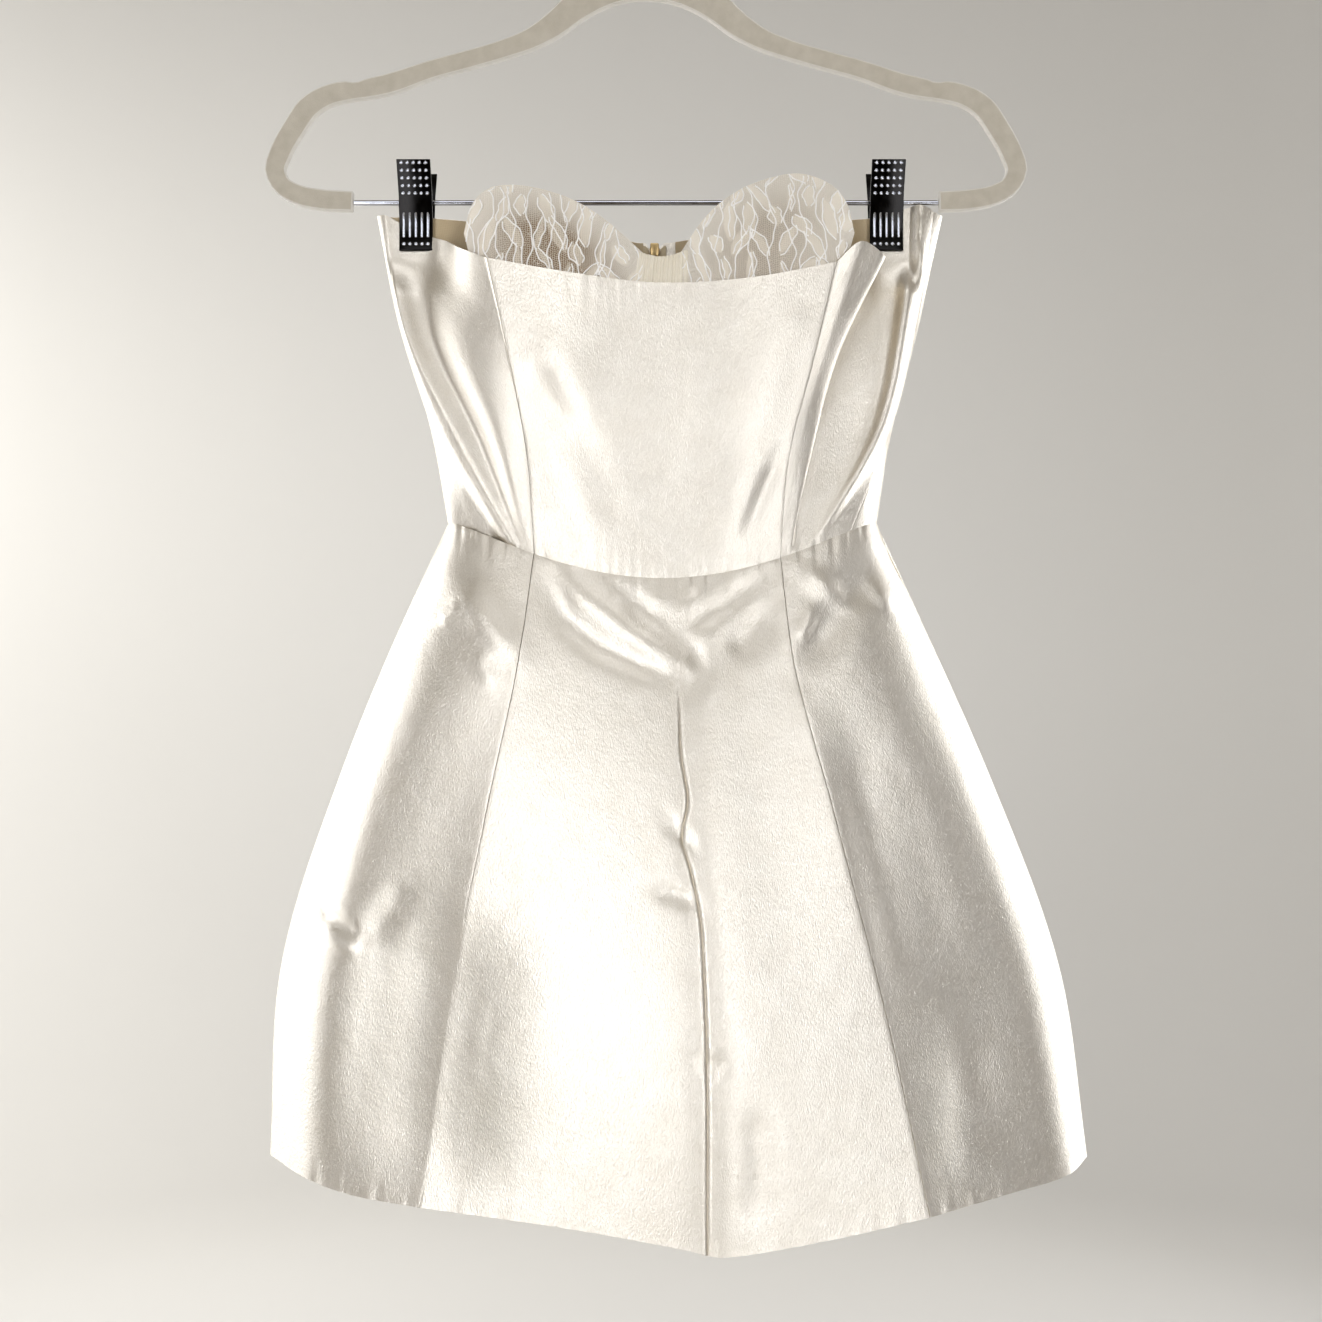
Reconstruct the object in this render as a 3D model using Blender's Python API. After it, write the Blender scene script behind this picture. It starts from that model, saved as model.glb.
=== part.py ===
"""A strapless mini dress in stiff ivory satin, clipped by its sides to a velvet hanger.

The dress is cut as a bodice and a flared skirt, joined by a waist seam that dips at the front.
Each panel is a thin wall, lofted between named lines that run down the cloth, such as a seam,
the ridge of a fold or the bottom of a trough. Lace cups stand up inside the neckline, and a
concealed zip closes the centre back.

Frame: +Z up, the front of the dress faces -Y, and the origin is where a rail holds the hook.
The tables are in millimetres. "drop" is the distance below the hanger's rod.
"""

import math
from collections import namedtuple

import bmesh
import bpy
from mathutils import Matrix, Vector
from mathutils.bvhtree import BVHTree

MM = 0.001

# Cloth
CLOTH = 1.4  # thickness of the satin with its interlining
LINING = 0.8
SEAM_GAP = 0.3  # distance between two pieces that are sewn together
WAIST_GAP = 0.7  # wider, because the two sides of this seam are faceted differently
MITRE_LIMIT = 0.45  # the least cosine of half the turn at a sharp edge
BODICE_ROWS = 12
BODICE_ROW_SPREAD = 1.35  # above 1, the rows are closer together at the clips
SKIRT_ROWS = 13
CUP_WALL = 3.0
CUP_CLEARANCE = 0.7  # between a cup and the satin in front of it
CUP_ROWS = 7
CUP_LEAN = 0.06  # how far a cup leans back above the satin, for each mm of height
CUP_CURVE = 0.0035
CUP_BACK_LIMIT = -15.0
BRIDGE_WALL = 1.4

# Waist seam: two half ellipses in plan, lower at the front than at the sides
WAIST_CENTRE_X = 9.7
WAIST_HALF_WIDTH = 125.7
WAIST_FRONT_DEPTH = 34.0
WAIST_BACK_DEPTH = 18.0
WAIST_SIDE_DROP = 188.0
WAIST_FRONT_DIP = 34.0
WAIST_BACK_DIP = 9.0
WAIST_DIP_POWER = 2.6

# Hanger
ROD_DROP_FROM_HOOK = 226.3
ROD_RADIUS = 1.6
HANGER_THICKNESS = 5.0
BAR_END_X = 171.7
ROD_GAP = 0.4
HOOK_WIRE_RADIUS = 1.7
HOOK_INNER_RADIUS = 20.0

# Clips
CLIP_CENTRES = {"left": -134.4, "right": 140.6}
CLIP_WIDTH = 19.6
CLIP_PLATE = 1.3
EAR_THICKNESS = 0.8
EAR_RADIUS = 3.4
SPRING_RADIUS = 3.9
GRIP_FRONT_Y = -2.3  # outer face of the front layer between the jaws
GRIP_BACK_Y = 2.1
GRIP_HALF_WIDTH = 14.0
GRIP_SIDE_FADE = 3.0
GRIP_BOTTOM = 38.0  # the drop down to which the cloth is held flat
GRIP_LOWER_FADE = 8.0
GRIP_REACH = 12.0  # a fold that stands out further than this is not pressed

# Zip
ZIP_X = 5.0
ZIP_TAPE = 0.8
ZIP_CHAIN = 1.0
ZIP_SET_DOWN = 2.0
ZIP_SKIRT_ROWS = 6
LINING_SET_DOWN = 0.6
TAPE_COLUMNS = 2  # of the bodice and the skirt, on each side of the centre back
PULL_LENGTH = 22.0
PULL_WIDTH = 3.4
PULL_THICKNESS = 1.0
PULL_PIVOT_DROP = 26.5
PULL_PIVOT_Y = 10.9
PULL_BAR_RADIUS = 0.6
PULL_EYE_RADIUS = 0.95

SATIN = ("satin", (0.90, 0.88, 0.84), 0.32, 0.0)
LINING_CLOTH = ("lining", (0.74, 0.65, 0.48), 0.6, 0.0)
LACE = ("lace", (0.86, 0.82, 0.74), 0.75, 0.0)
GORE_SATIN = ("gore_satin", (0.88, 0.83, 0.72), 0.45, 0.0)
VELVET = ("velvet", (0.72, 0.70, 0.65), 0.95, 0.0)
CHROME = ("chrome", (0.75, 0.75, 0.76), 0.12, 1.0)
CLIP_METAL = ("clip_metal", (0.04, 0.04, 0.05), 0.15, 1.0)
ZIP_TAPE_CLOTH = ("zip_tape", (0.88, 0.86, 0.82), 0.6, 0.0)
ZIP_METAL = ("zip_metal", (0.85, 0.84, 0.82), 0.3, 1.0)

# A line down the bodice. turn is its place round the waist seam in degrees, from the centre
# front; x and y are its places at the top edge, a third and two thirds of the way down.
BodiceLine = namedtuple("BodiceLine", "name turn x_top x_upper x_lower y_top y_upper y_lower top")

CENTRE_FRONT = [
    BodiceLine("princess_left", -35.6, -89.6, -77.3, -67.0, -35, -35, -32, 41.6),
    BodiceLine("mid_left", -17, -42, -37, -30, -43, -41, -37, 52),
    BodiceLine("centre", 0, 6, 7, 9, -44, -40, -36, 58),
    BodiceLine("mid_right", 16, 58, 50, 46, -43, -41, -37, 55),
    BodiceLine("princess_right", 32.2, 107.8, 94.6, 81.0, -35, -35, -32, 44),
]

SIDE_FRONT_RIGHT = [
    CENTRE_FRONT[-1],
    BodiceLine("face_right", 33.6, 123.5, 102.5, 87.5, -26, -31, -31, 29.7),
    BodiceLine("fold_edge_right", 35.0, 137.8, 110.5, 94.6, -19, -24, -27, 37),
    BodiceLine("under_fold_right", 36.3, 131, 104, 90, -8, -13, -21, 31),
    BodiceLine("grip_right", 38, 140, 124, 104, -2.2, -9, -17, 15),
    BodiceLine("trough_right", 40, 151, 146, 129.5, -2.4, -11, -14, 6),
    BodiceLine("ridge_right", 43, 160, 153, 138, -8, -16, -17, 3),
    BodiceLine("dip_right", 47, 164.5, 156.5, 141.5, -6, -10, -10, 4.5),
    BodiceLine("side_seam_right", 60, 168.5, 159.3, 144, -4, -5, -6, 6.5),
]

SIDE_FRONT_LEFT = [
    BodiceLine("side_seam_left", -90, -158, -145.8, -127.5, 0.5, 0.5, 0, 8),
    BodiceLine("flank_left", -63, -156, -145, -125.5, -3, -5, -6, 8),
    BodiceLine("dip_left", -48, -153.5, -143, -121, -5, -11, -12, 8),
    BodiceLine("ridge_left", -42.5, -150.5, -140, -112, -7, -17, -23, 9),
    BodiceLine("trough_left", -39.8, -136, -126, -96, -2.2, -9, -18, 17),
    BodiceLine("brow_left", -38.2, -118, -110, -87, -9, -22, -27, 24),
    BodiceLine("face_left", -37, -106, -93, -79, -24, -30, -31, 33),
    CENTRE_FRONT[0],
]

BACK_RIGHT = [
    SIDE_FRONT_RIGHT[-1],
    BodiceLine("side_edge_right", 90, 174, 160.8, 145, 0.5, 0.5, 0, 8),
    BodiceLine("clip_outer_right", 103, 154, 143, 130, 2.1, 5, 7, 8),
    BodiceLine("clip_inner_right", 117, 128, 121, 105, 2.1, 8, 12, 9),
    BodiceLine("mid_back_right", 146, 72, 67, 60, 6, 11, 15, 14),
    BodiceLine("tape_right", 175.2, 15.5, 16.5, 18.5, 7, 12, 16, 21.5),
    BodiceLine("notch_right", 178.2, 9, 10, 12, 7, 12, 16, 23.5),
    BodiceLine("centre_back", 180, 5, 6, 8, 7, 12, 16, 35),
]

BACK_LEFT = [
    BodiceLine("centre_back", -180, 5, 6, 8, 7, 12, 16, 35),
    BodiceLine("notch_left", -178.2, 1, 2, 4, 7, 12, 16, 23.5),
    BodiceLine("tape_left", -175.2, -5.5, -4.5, -2.5, 7, 12, 16, 21.5),
    BodiceLine("mid_back_left", -146, -62, -56, -46, 6, 11, 15, 14),
    BodiceLine("clip_inner_left", -117, -120.5, -104, -88, 2.1, 8, 12, 9),
    BodiceLine("clip_outer_left", -103, -147.5, -129, -112, 2.1, 5, 7, 8),
    SIDE_FRONT_LEFT[0],
]

# A line down the skirt. x and y are its places at four of SKIRT_LEVELS, below the waist.
SkirtLine = namedtuple(
    "SkirtLine", "name turn x_high x_hip x_low x_hem y_high y_hip y_low y_hem hem"
)
SKIRT_LEVELS = (0.0, 0.15, 0.4, 0.7, 1.0)

SKIRT_CENTRE_FRONT = [
    SkirtLine("princess_left", -35.6, -70, -88, -110, -124, -38, -50, -59, -62, 567.5),
    SkirtLine("lobe_left", -14, -27, -34, -40, -43, -46, -62, -77, -80, 572.5),
    SkirtLine("rim_left", 2, 10, 14, 20, 22, -46, -64, -80, -84, 581),
    SkirtLine("valley", 7, 24, 27, 34, 36, -42, -58, -74, -79, 584),
    SkirtLine("rim_right", 12, 33, 37, 45, 48, -44, -62, -79, -83, 584),
    SkirtLine("lobe_right", 22, 58, 70, 88, 100, -44, -58, -71, -75, 579),
    SkirtLine("princess_right", 32.2, 82.6, 105, 132, 155, -38, -50, -59, -64, 571),
]

SKIRT_SIDE_RIGHT = [
    SKIRT_CENTRE_FRONT[-1],
    SkirtLine("hollow_right", 50, 112, 145, 178, 203, -30, -33, -36, -38, 568),
    SkirtLine("bulge_right", 70, 142, 182, 220, 243, -16, -18, -20, -20, 563),
    SkirtLine("side_seam_right", 90, 161, 202, 242, 258, 0, 0, -2, -4, 558),
]

SKIRT_SIDE_LEFT = [
    SkirtLine("side_seam_left", -90, -142, -180, -214, -220, 0, 0, -2, -4, 557),
    SkirtLine("bulge_left", -71, -124, -159, -189, -203, -16, -18, -20, -20, 562),
    SkirtLine("hollow_left", -52, -97, -125, -148, -163, -30, -33, -37, -40, 566),
    SKIRT_CENTRE_FRONT[0],
]

SKIRT_BACK_RIGHT = [
    SKIRT_SIDE_RIGHT[-1],
    SkirtLine("back_edge_right", 112, 145, 180, 215, 230, 13, 16, 15, 13, 559),
    SkirtLine("back_mid_right", 146, 90, 108, 128, 138, 19, 23, 25, 26, 560),
    SkirtLine("tape_right", 175.2, 19.5, 20.5, 24, 26, 20, 24, 26, 27, 561),
    SkirtLine("centre_back", 180, 9, 10, 12, 14, 20, 24, 26, 27, 561),
]

SKIRT_BACK_LEFT = [
    SkirtLine("centre_back", -180, 9, 10, 12, 14, 20, 24, 26, 27, 561),
    SkirtLine("tape_left", -175.2, -1.5, -0.5, 0, 2, 20, 24, 26, 27, 561),
    SkirtLine("back_mid_left", -146, -72, -86, -102, -110, 19, 23, 25, 26, 560),
    SkirtLine("back_edge_left", -112, -126, -158, -188, -196, 13, 16, 15, 13, 558),
    SKIRT_SIDE_LEFT[0],
]

# A line down the inside of the bust. y follows the satin in front of it, and leans back above.
CupLine = namedtuple("CupLine", "name x_top top x_low low")

CUP_LEFT = [
    CupLine("outer", -101.5, 26, -93, 66),
    CupLine("rise", -97, 12, -88, 74),
    CupLine("shoulder", -89, 3.5, -80, 82),
    CupLine("peak", -75, 1.4, -67, 88),
    CupLine("slope", -56, 4.2, -52, 91),
    CupLine("fall", -36, 12, -36, 90),
    CupLine("inner", -19, 24.5, -21, 84),
    CupLine("gore_left", 1.4, 43, -5.5, 76),
]

CUP_BRIDGE = [
    CUP_LEFT[-1],
    CupLine("gore_middle", 10, 42.6, 7, 76),
    CupLine("gore_right", 18.6, 42.2, 20, 76),
]

CUP_RIGHT = [
    CUP_BRIDGE[-1],
    CupLine("inner", 32, 24, 34, 84),
    CupLine("rise", 46, 11, 48, 90),
    CupLine("slope", 63, 1.5, 62, 91),
    CupLine("peak", 86, -4.7, 80, 88),
    CupLine("shoulder", 102, 0.5, 93, 82),
    CupLine("fall", 112, 12, 101, 74),
    CupLine("outer", 117, 28, 107, 66),
]

# The hanger's left half, along the middle of the velvet, from the bar's end to the crest
HangerPoint = namedtuple("HangerPoint", "name x drop width")

HANGER_HALF = [
    HangerPoint("bar_end", -171.7, -0.6, 11.6),
    HangerPoint("bar", -190, -1.6, 12.0),
    HangerPoint("heel", -204, -4.5, 11.6),
    HangerPoint("corner", -213.4, -10, 11.2),
    HangerPoint("end", -217.3, -19, 12.2),
    HangerPoint("rise", -214.3, -29, 12.6),
    HangerPoint("flank", -206.3, -43.6, 13.0),
    HangerPoint("turn", -197.2, -56.2, 13.2),
    HangerPoint("shoulder", -185.5, -62.9, 12.4),
    HangerPoint("notch_start", -176, -65.0, 12.0),
    HangerPoint("notch", -169.6, -65.2, 10.2),
    HangerPoint("notch_end", -162.5, -66.8, 11.6),
    HangerPoint("arm", -152.6, -68.9, 12.0),
    HangerPoint("arm_low", -125, -78.0, 11.0),
    HangerPoint("arm_middle", -103.3, -83.9, 11.0),
    HangerPoint("arm_high", -83.4, -89.8, 11.2),
    HangerPoint("neck_foot", -67.5, -95.8, 12.6),
    HangerPoint("neck", -54.6, -103.6, 15.0),
    HangerPoint("crest_side", -41, -114.6, 17.2),
    HangerPoint("crest_turn", -23, -124.6, 19.2),
    HangerPoint("crest", 0, -129.7, 21.2),
]

# The clip's front jaw from the side: y and z from the rod, along its inner face
ClipPoint = namedtuple("ClipPoint", "name y z")

CLIP_JAW = [
    ClipPoint("handle_tip", -12.6, 21.5),
    ClipPoint("handle_root", -5.6, 5.0),
    ClipPoint("spring", -4.6, 1.5),
    ClipPoint("below_spring", -4.6, -2.5),
    ClipPoint("jaw_root", -2.6, -9.5),
    ClipPoint("jaw_tip", -2.6, -28.0),
    ClipPoint("lip", -3.2, -29.2),
]

# The hook's wire: x and z of its middle, below and beside the round part
HookPoint = namedtuple("HookPoint", "name x z")

HOOK_STEM = [
    HookPoint("foot", 0, -85.6),
    HookPoint("stem", 0, -66),
    HookPoint("lean", 1.0, -57.5),
    HookPoint("bend", 5.2, -47.5),
]
HOOK_ARC_START = -42
HOOK_ARC_END = 196
HOOK_ARC_STEPS = 22


def spline(values, knots, t):
    """Centripetal-like cubic through values at knots, for numbers or vectors."""
    last = len(knots) - 1
    i = max(0, min(last - 1, sum(1 for k in knots[1:-1] if t >= k)))
    a, b = knots[i], knots[i + 1]
    span = b - a

    def slope(j):
        if j == 0:
            return (values[1] - values[0]) / (knots[1] - knots[0])
        if j == last:
            return (values[last] - values[last - 1]) / (knots[last] - knots[last - 1])
        before = knots[j] - knots[j - 1]
        after = knots[j + 1] - knots[j]
        rise_before = (values[j] - values[j - 1]) / before
        rise_after = (values[j + 1] - values[j]) / after
        return (rise_before * after + rise_after * before) / (before + after)

    s = (t - a) / span
    h00 = 2 * s**3 - 3 * s**2 + 1
    h10 = s**3 - 2 * s**2 + s
    h01 = -2 * s**3 + 3 * s**2
    h11 = s**3 - s**2
    return (
        values[i] * h00
        + slope(i) * (h10 * span)
        + values[i + 1] * h01
        + slope(i + 1) * (h11 * span)
    )


def smooth(edge_0, edge_1, value):
    """0 at edge_0, 1 at edge_1, with a soft start and end."""
    s = max(0.0, min(1.0, (value - edge_0) / (edge_1 - edge_0)))
    return s * s * (3 - 2 * s)


def waist_point(turn):
    """A point of the waist seam, as x, y and drop."""
    angle = math.radians(turn)
    facing = math.cos(angle)
    depth = WAIST_FRONT_DEPTH if facing > 0 else WAIST_BACK_DEPTH
    dip = WAIST_FRONT_DIP if facing > 0 else WAIST_BACK_DIP
    return Vector(
        (
            WAIST_CENTRE_X + WAIST_HALF_WIDTH * math.sin(angle),
            -depth * facing,
            WAIST_SIDE_DROP + dip * abs(facing) ** WAIST_DIP_POWER,
        )
    )


def bodice_line_point(line, v):
    """The point at v on a line of the bodice, from 0 at the top edge to 1 at the waist."""
    waist = waist_point(line.turn)
    knots = (0.0, 1 / 3, 2 / 3, 1.0)
    x = spline((line.x_top, line.x_upper, line.x_lower, waist.x), knots, v)
    y = spline((line.y_top, line.y_upper, line.y_lower, waist.y), knots, v)
    return Vector((x, y, line.top + (waist.z - line.top) * v))


def skirt_line_point(line, v):
    """The point at v on a line of the skirt, from 0 at the waist to 1 at the hem."""
    waist = waist_point(line.turn)
    xs = (waist.x, line.x_high, line.x_hip, line.x_low, line.x_hem)
    ys = (waist.y, line.y_high, line.y_hip, line.y_low, line.y_hem)
    x = spline(xs, SKIRT_LEVELS, v)
    y = spline(ys, SKIRT_LEVELS, v)
    return Vector((x, y, waist.z + (line.hem - waist.z) * v))


def ring_point(points, turns, u, near_waist):
    """A point between the lines: u counts lines, and near_waist pulls it onto the waist seam."""
    knots = [0.0]
    for a, b in zip(points, points[1:]):
        knots.append(knots[-1] + max(0.5, math.hypot(b.x - a.x, b.y - a.y)) ** 0.5)
    i = min(len(points) - 2, int(u))
    place = knots[i] + (knots[i + 1] - knots[i]) * (u - i)
    on_cloth = spline(points, knots, place)
    turn = turns[i] + (turns[i + 1] - turns[i]) * (u - i)
    return on_cloth.lerp(waist_point(turn), near_waist)


def grip(point, is_back):
    """Presses a point of the cloth flat where a clip's jaws hold it."""
    for centre in CLIP_CENTRES.values():
        side = abs(point.x - centre)
        across = 1 - smooth(GRIP_HALF_WIDTH, GRIP_HALF_WIDTH + GRIP_SIDE_FADE, side)
        down = 1 - smooth(GRIP_BOTTOM, GRIP_BOTTOM + GRIP_LOWER_FADE, point.z)
        held_y = GRIP_BACK_Y if is_back else GRIP_FRONT_Y
        near = 1 - smooth(GRIP_REACH, GRIP_REACH + 4, abs(point.y - held_y))
        point.y += (held_y - point.y) * across * down * near
    return point


def columns(counts):
    """Places across a panel, in lines: counts says how many steps lie between two lines."""
    places = [0.0]
    for i, count in enumerate(counts):
        places += [i + (k + 1) / count for k in range(count)]
    return places


def bodice_grid(lines, counts, is_back=False):
    """Outer points of a bodice panel, row by row from the top edge to the waist seam."""
    grid = []
    for r in range(BODICE_ROWS + 1):
        v = (r / BODICE_ROWS) ** BODICE_ROW_SPREAD
        points = [bodice_line_point(line, v) for line in lines]
        turns = [line.turn for line in lines]
        near_waist = smooth(0.8, 1.0, v)
        row = [ring_point(points, turns, u, near_waist) for u in columns(counts)]
        grid.append([grip(p, is_back) for p in row])
    return grid


def skirt_grid(lines, counts):
    """Outer points of a skirt panel, row by row from the waist seam to the hem."""
    grid = []
    for r in range(SKIRT_ROWS + 1):
        v = r / SKIRT_ROWS
        points = [skirt_line_point(line, v) for line in lines]
        turns = [line.turn for line in lines]
        near_waist = 1 - smooth(0.0, 0.12, v)
        grid.append([ring_point(points, turns, u, near_waist) for u in columns(counts)])
    return grid


def inward_steps(ring):
    """For each point of a closed ring, the plan vector that moves its walls in by 1 mm."""
    steps = []
    for i, point in enumerate(ring):
        before = point - ring[i - 1]
        after = ring[(i + 1) % len(ring)] - point
        before = Vector((-before.y, before.x, 0)).normalized()
        after = Vector((-after.y, after.x, 0)).normalized()
        middle = (before + after).normalized()
        steps.append(middle / max(MITRE_LIMIT, middle.dot(after)))
    return steps


def moved_in(panels, distance):
    """Copies of the panels, which follow each other round a ring, moved in by a distance."""
    moved = [[] for _ in panels]
    for r in range(len(panels[0])):
        ring = [p for grid in panels for p in grid[r][:-1]]
        steps = inward_steps(ring)
        start = 0
        for grid, result in zip(panels, moved):
            count = len(grid[r])
            spots = [(start + i) % len(ring) for i in range(count)]
            result.append([ring[i] + steps[i] * distance for i in spots])
            start += count - 1
    return moved


def flat(vector):
    return Vector((vector.x, vector.y, 0)).normalized()


def with_seam_gaps(outer, inner):
    """Both faces of a wall with their side edges moved in, to leave half a gap at each seam."""
    faces = [[[p.copy() for p in row] for row in grid] for grid in (outer, inner)]
    for r in range(len(outer)):
        for end, beside in ((0, 1), (-1, -2)):
            through = flat(inner[r][end] - outer[r][end])
            for face, source in zip(faces, (outer, inner)):
                along = flat(source[r][beside] - source[r][end])
                slant = max(0.45, abs(along.cross(through).z))
                face[r][end] += along * (SEAM_GAP * 0.55 / slant)
    return faces


def shortened(grid, top, bottom):
    """The grid with its first and last rows moved in, by millimetres."""
    grid = [[p.copy() for p in row] for row in grid]
    for j in range(len(grid[0])):
        grid[0][j].z += top
        grid[-1][j].z -= bottom
    return grid


def to_world(point):
    """From x, y and drop in millimetres to the part's frame in metres."""
    return Vector((point.x, point.y, -ROD_DROP_FROM_HOOK - point.z)) * MM


def make_material(look):
    name, colour, roughness, metallic = look
    material = bpy.data.materials.get(name)
    if material:
        return material
    material = bpy.data.materials.new(name)
    material.use_nodes = True
    shader = material.node_tree.nodes["Principled BSDF"]
    shader.inputs["Base Color"].default_value = (*colour, 1)
    shader.inputs["Roughness"].default_value = roughness
    shader.inputs["Metallic"].default_value = metallic
    material.diffuse_color = (*colour, 1)
    return material


def make_object(name, vertices, faces, look, sharp_degrees=40):
    mesh = bpy.data.meshes.new(name)
    mesh.from_pydata([tuple(v) for v in vertices], [], faces)
    mesh.validate()
    work = bmesh.new()
    work.from_mesh(mesh)
    bmesh.ops.recalc_face_normals(work, faces=work.faces)
    work.to_mesh(mesh)
    work.free()
    mesh.shade_smooth()
    mesh.set_sharp_from_angle(angle=math.radians(sharp_degrees))
    mesh.materials.append(make_material(look))
    obj = bpy.data.objects.new(name, mesh)
    bpy.context.scene.collection.objects.link(obj)
    return obj


def shell(name, outer, inner, look):
    """A closed wall between two grids of points of the same size."""
    rows, cols = len(outer), len(outer[0])
    vertices = [to_world(p) for grid in (outer, inner) for row in grid for p in row]

    def at(layer, r, c):
        return layer * rows * cols + r * cols + c

    faces = []
    for r in range(rows - 1):
        for c in range(cols - 1):
            faces.append((at(0, r, c), at(0, r + 1, c), at(0, r + 1, c + 1), at(0, r, c + 1)))
            faces.append((at(1, r, c), at(1, r, c + 1), at(1, r + 1, c + 1), at(1, r + 1, c)))
    edge = [(0, c) for c in range(cols)]
    edge += [(r, cols - 1) for r in range(1, rows)]
    edge += [(rows - 1, c) for c in range(cols - 2, -1, -1)]
    edge += [(r, 0) for r in range(rows - 2, 0, -1)]
    for (r0, c0), (r1, c1) in zip(edge, edge[1:] + edge[:1]):
        ends = [at(0, r0, c0), at(0, r1, c1), at(1, r1, c1), at(1, r0, c0)]
        # Both panels at a seam split this face the same way, so that they never meet
        if r0 + c0 > r1 + c1:
            ends = ends[1:] + ends[:1]
        faces += [(ends[0], ends[1], ends[2]), (ends[0], ends[2], ends[3])]
    return make_object(name, vertices, faces, look)


def cloth_panels(named_panels, top, bottom, look=SATIN, depth=0.0, thickness=CLOTH):
    """Walls of cloth with their outer faces depth inside a ring of panels."""
    panels = list(named_panels.values())
    outer = moved_in(panels, depth)
    inner = moved_in(panels, depth + thickness)
    for name, outer_grid, inner_grid in zip(named_panels, outer, inner):
        faces = with_seam_gaps(outer_grid, inner_grid)
        shell(name, *[shortened(face, top, bottom) for face in faces], look)


def bodice_ring():
    return {
        "bodice_side_front_left": bodice_grid(SIDE_FRONT_LEFT, (1, 1, 1, 3, 3, 2, 2)),
        "bodice_center_front": bodice_grid(CENTRE_FRONT, (3, 3, 3, 3)),
        "bodice_side_front_right": bodice_grid(SIDE_FRONT_RIGHT, (2, 2, 2, 2, 3, 2, 2, 2)),
        "bodice_back_right": bodice_grid(BACK_RIGHT, (1, 2, 3, 3, 3, 1, 1), is_back=True),
        "bodice_back_left": bodice_grid(BACK_LEFT, (1, 1, 3, 3, 3, 2), is_back=True),
    }


def skirt_ring():
    return {
        "skirt_side_front_left": skirt_grid(SKIRT_SIDE_LEFT, (3, 3, 4)),
        "skirt_center_front": skirt_grid(SKIRT_CENTRE_FRONT, (3, 3, 2, 2, 2, 3)),
        "skirt_side_front_right": skirt_grid(SKIRT_SIDE_RIGHT, (4, 3, 3)),
        "skirt_back_right": skirt_grid(SKIRT_BACK_RIGHT, (3, 3, 3, 2)),
        "skirt_back_left": skirt_grid(SKIRT_BACK_LEFT, (2, 3, 3, 3)),
    }


def build_lining(bodice):
    """The lining of the back, which shows above the front's neckline. It stops at the zip."""
    panels = list(bodice.values())
    outer = moved_in(panels, CLOTH + SEAM_GAP)
    inner = moved_in(panels, CLOTH + SEAM_GAP + LINING)
    spans = {"right": (3, slice(2, -TAPE_COLUMNS)), "left": (4, slice(TAPE_COLUMNS, -1))}
    for side, (panel, span) in spans.items():
        cuts = [[row[span] for row in grids[panel]] for grids in (outer, inner)]
        faces = with_seam_gaps(*cuts)
        shell(
            f"lining_back_{side}",
            *[shortened(face, LINING_SET_DOWN, SEAM_GAP) for face in faces],
            LINING_CLOTH,
        )


def zip_rows(ring, count, depth):
    """The strip of a ring's back that lies over the zip tape, moved in by a depth."""
    right, left = moved_in(list(ring.values()), depth)[3:]
    rows = []
    for r in range(count):
        half = [right[r][-1 - TAPE_COLUMNS], right[r][-1]]
        half += [left[r][TAPE_COLUMNS]]
        rows.append(half)
    return rows


def build_zip(bodice, skirt):
    """The zip's tape and chain: a strip inside the centre back, thicker along its middle."""
    grids = []
    for depth in (CLOTH + SEAM_GAP, CLOTH + SEAM_GAP + ZIP_TAPE):
        rows = zip_rows(bodice, BODICE_ROWS + 1, depth)
        rows += zip_rows(skirt, ZIP_SKIRT_ROWS, depth)[1:]
        grids.append(shortened(rows, ZIP_SET_DOWN, 0))
    outer, inner = with_seam_gaps(*grids)
    for row in inner:
        row[1].y -= ZIP_CHAIN
    shell("zip", outer, inner, ZIP_TAPE_CLOTH)


def inner_bust_surface(bodice):
    """The inside of the satin over the bust, as something a ray can hit."""
    names = ("bodice_side_front_left", "bodice_center_front", "bodice_side_front_right")
    vertices = []
    faces = []
    moved = moved_in(list(bodice.values()), CLOTH + CUP_CLEARANCE)
    for name, grid in zip(bodice, moved):
        if name not in names:
            continue
        start = len(vertices)
        cols = len(grid[0])
        for row in grid:
            vertices += [Vector((p.x, p.y, p.z)) for p in row]
        for r in range(len(grid) - 1):
            for c in range(cols - 1):
                a = start + r * cols + c
                faces.append((a, a + cols, a + cols + 1, a + 1))
    return BVHTree.FromPolygons(vertices, faces)


def bust_y(surface, x, drop):
    """Where the outside of a cup lies in depth, and how far above the satin's edge it is."""
    start = Vector((x, -200, drop))
    ahead = Vector((0, 1, 0))
    above = 0.0
    hit = surface.ray_cast(start, ahead)[0]
    while hit is None or hit.y > CUP_BACK_LIMIT:
        above += 1.0
        hit = surface.ray_cast(start + Vector((0, 0, above)), ahead)[0]
    return hit.y, above


def cup_grid(surface, lines, steps):
    """Outer points of a cup or of the bridge, row by row from its top edge down."""
    grid = []
    for r in range(CUP_ROWS + 1):
        v = r / CUP_ROWS
        points = [
            Vector((n.x_top + (n.x_low - n.x_top) * v, 0, n.top + (n.low - n.top) * v))
            for n in lines
        ]
        row = []
        for u in columns([steps] * (len(lines) - 1)):
            p = spline(points, range(len(points)), u) if len(points) > 2 else points[int(u)]
            y, above = bust_y(surface, p.x, p.z)
            lean = CUP_LEAN * above + CUP_CURVE * above * above
            row.append(Vector((p.x, y + lean, p.z)))
        grid.append(row)
    return grid


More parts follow.
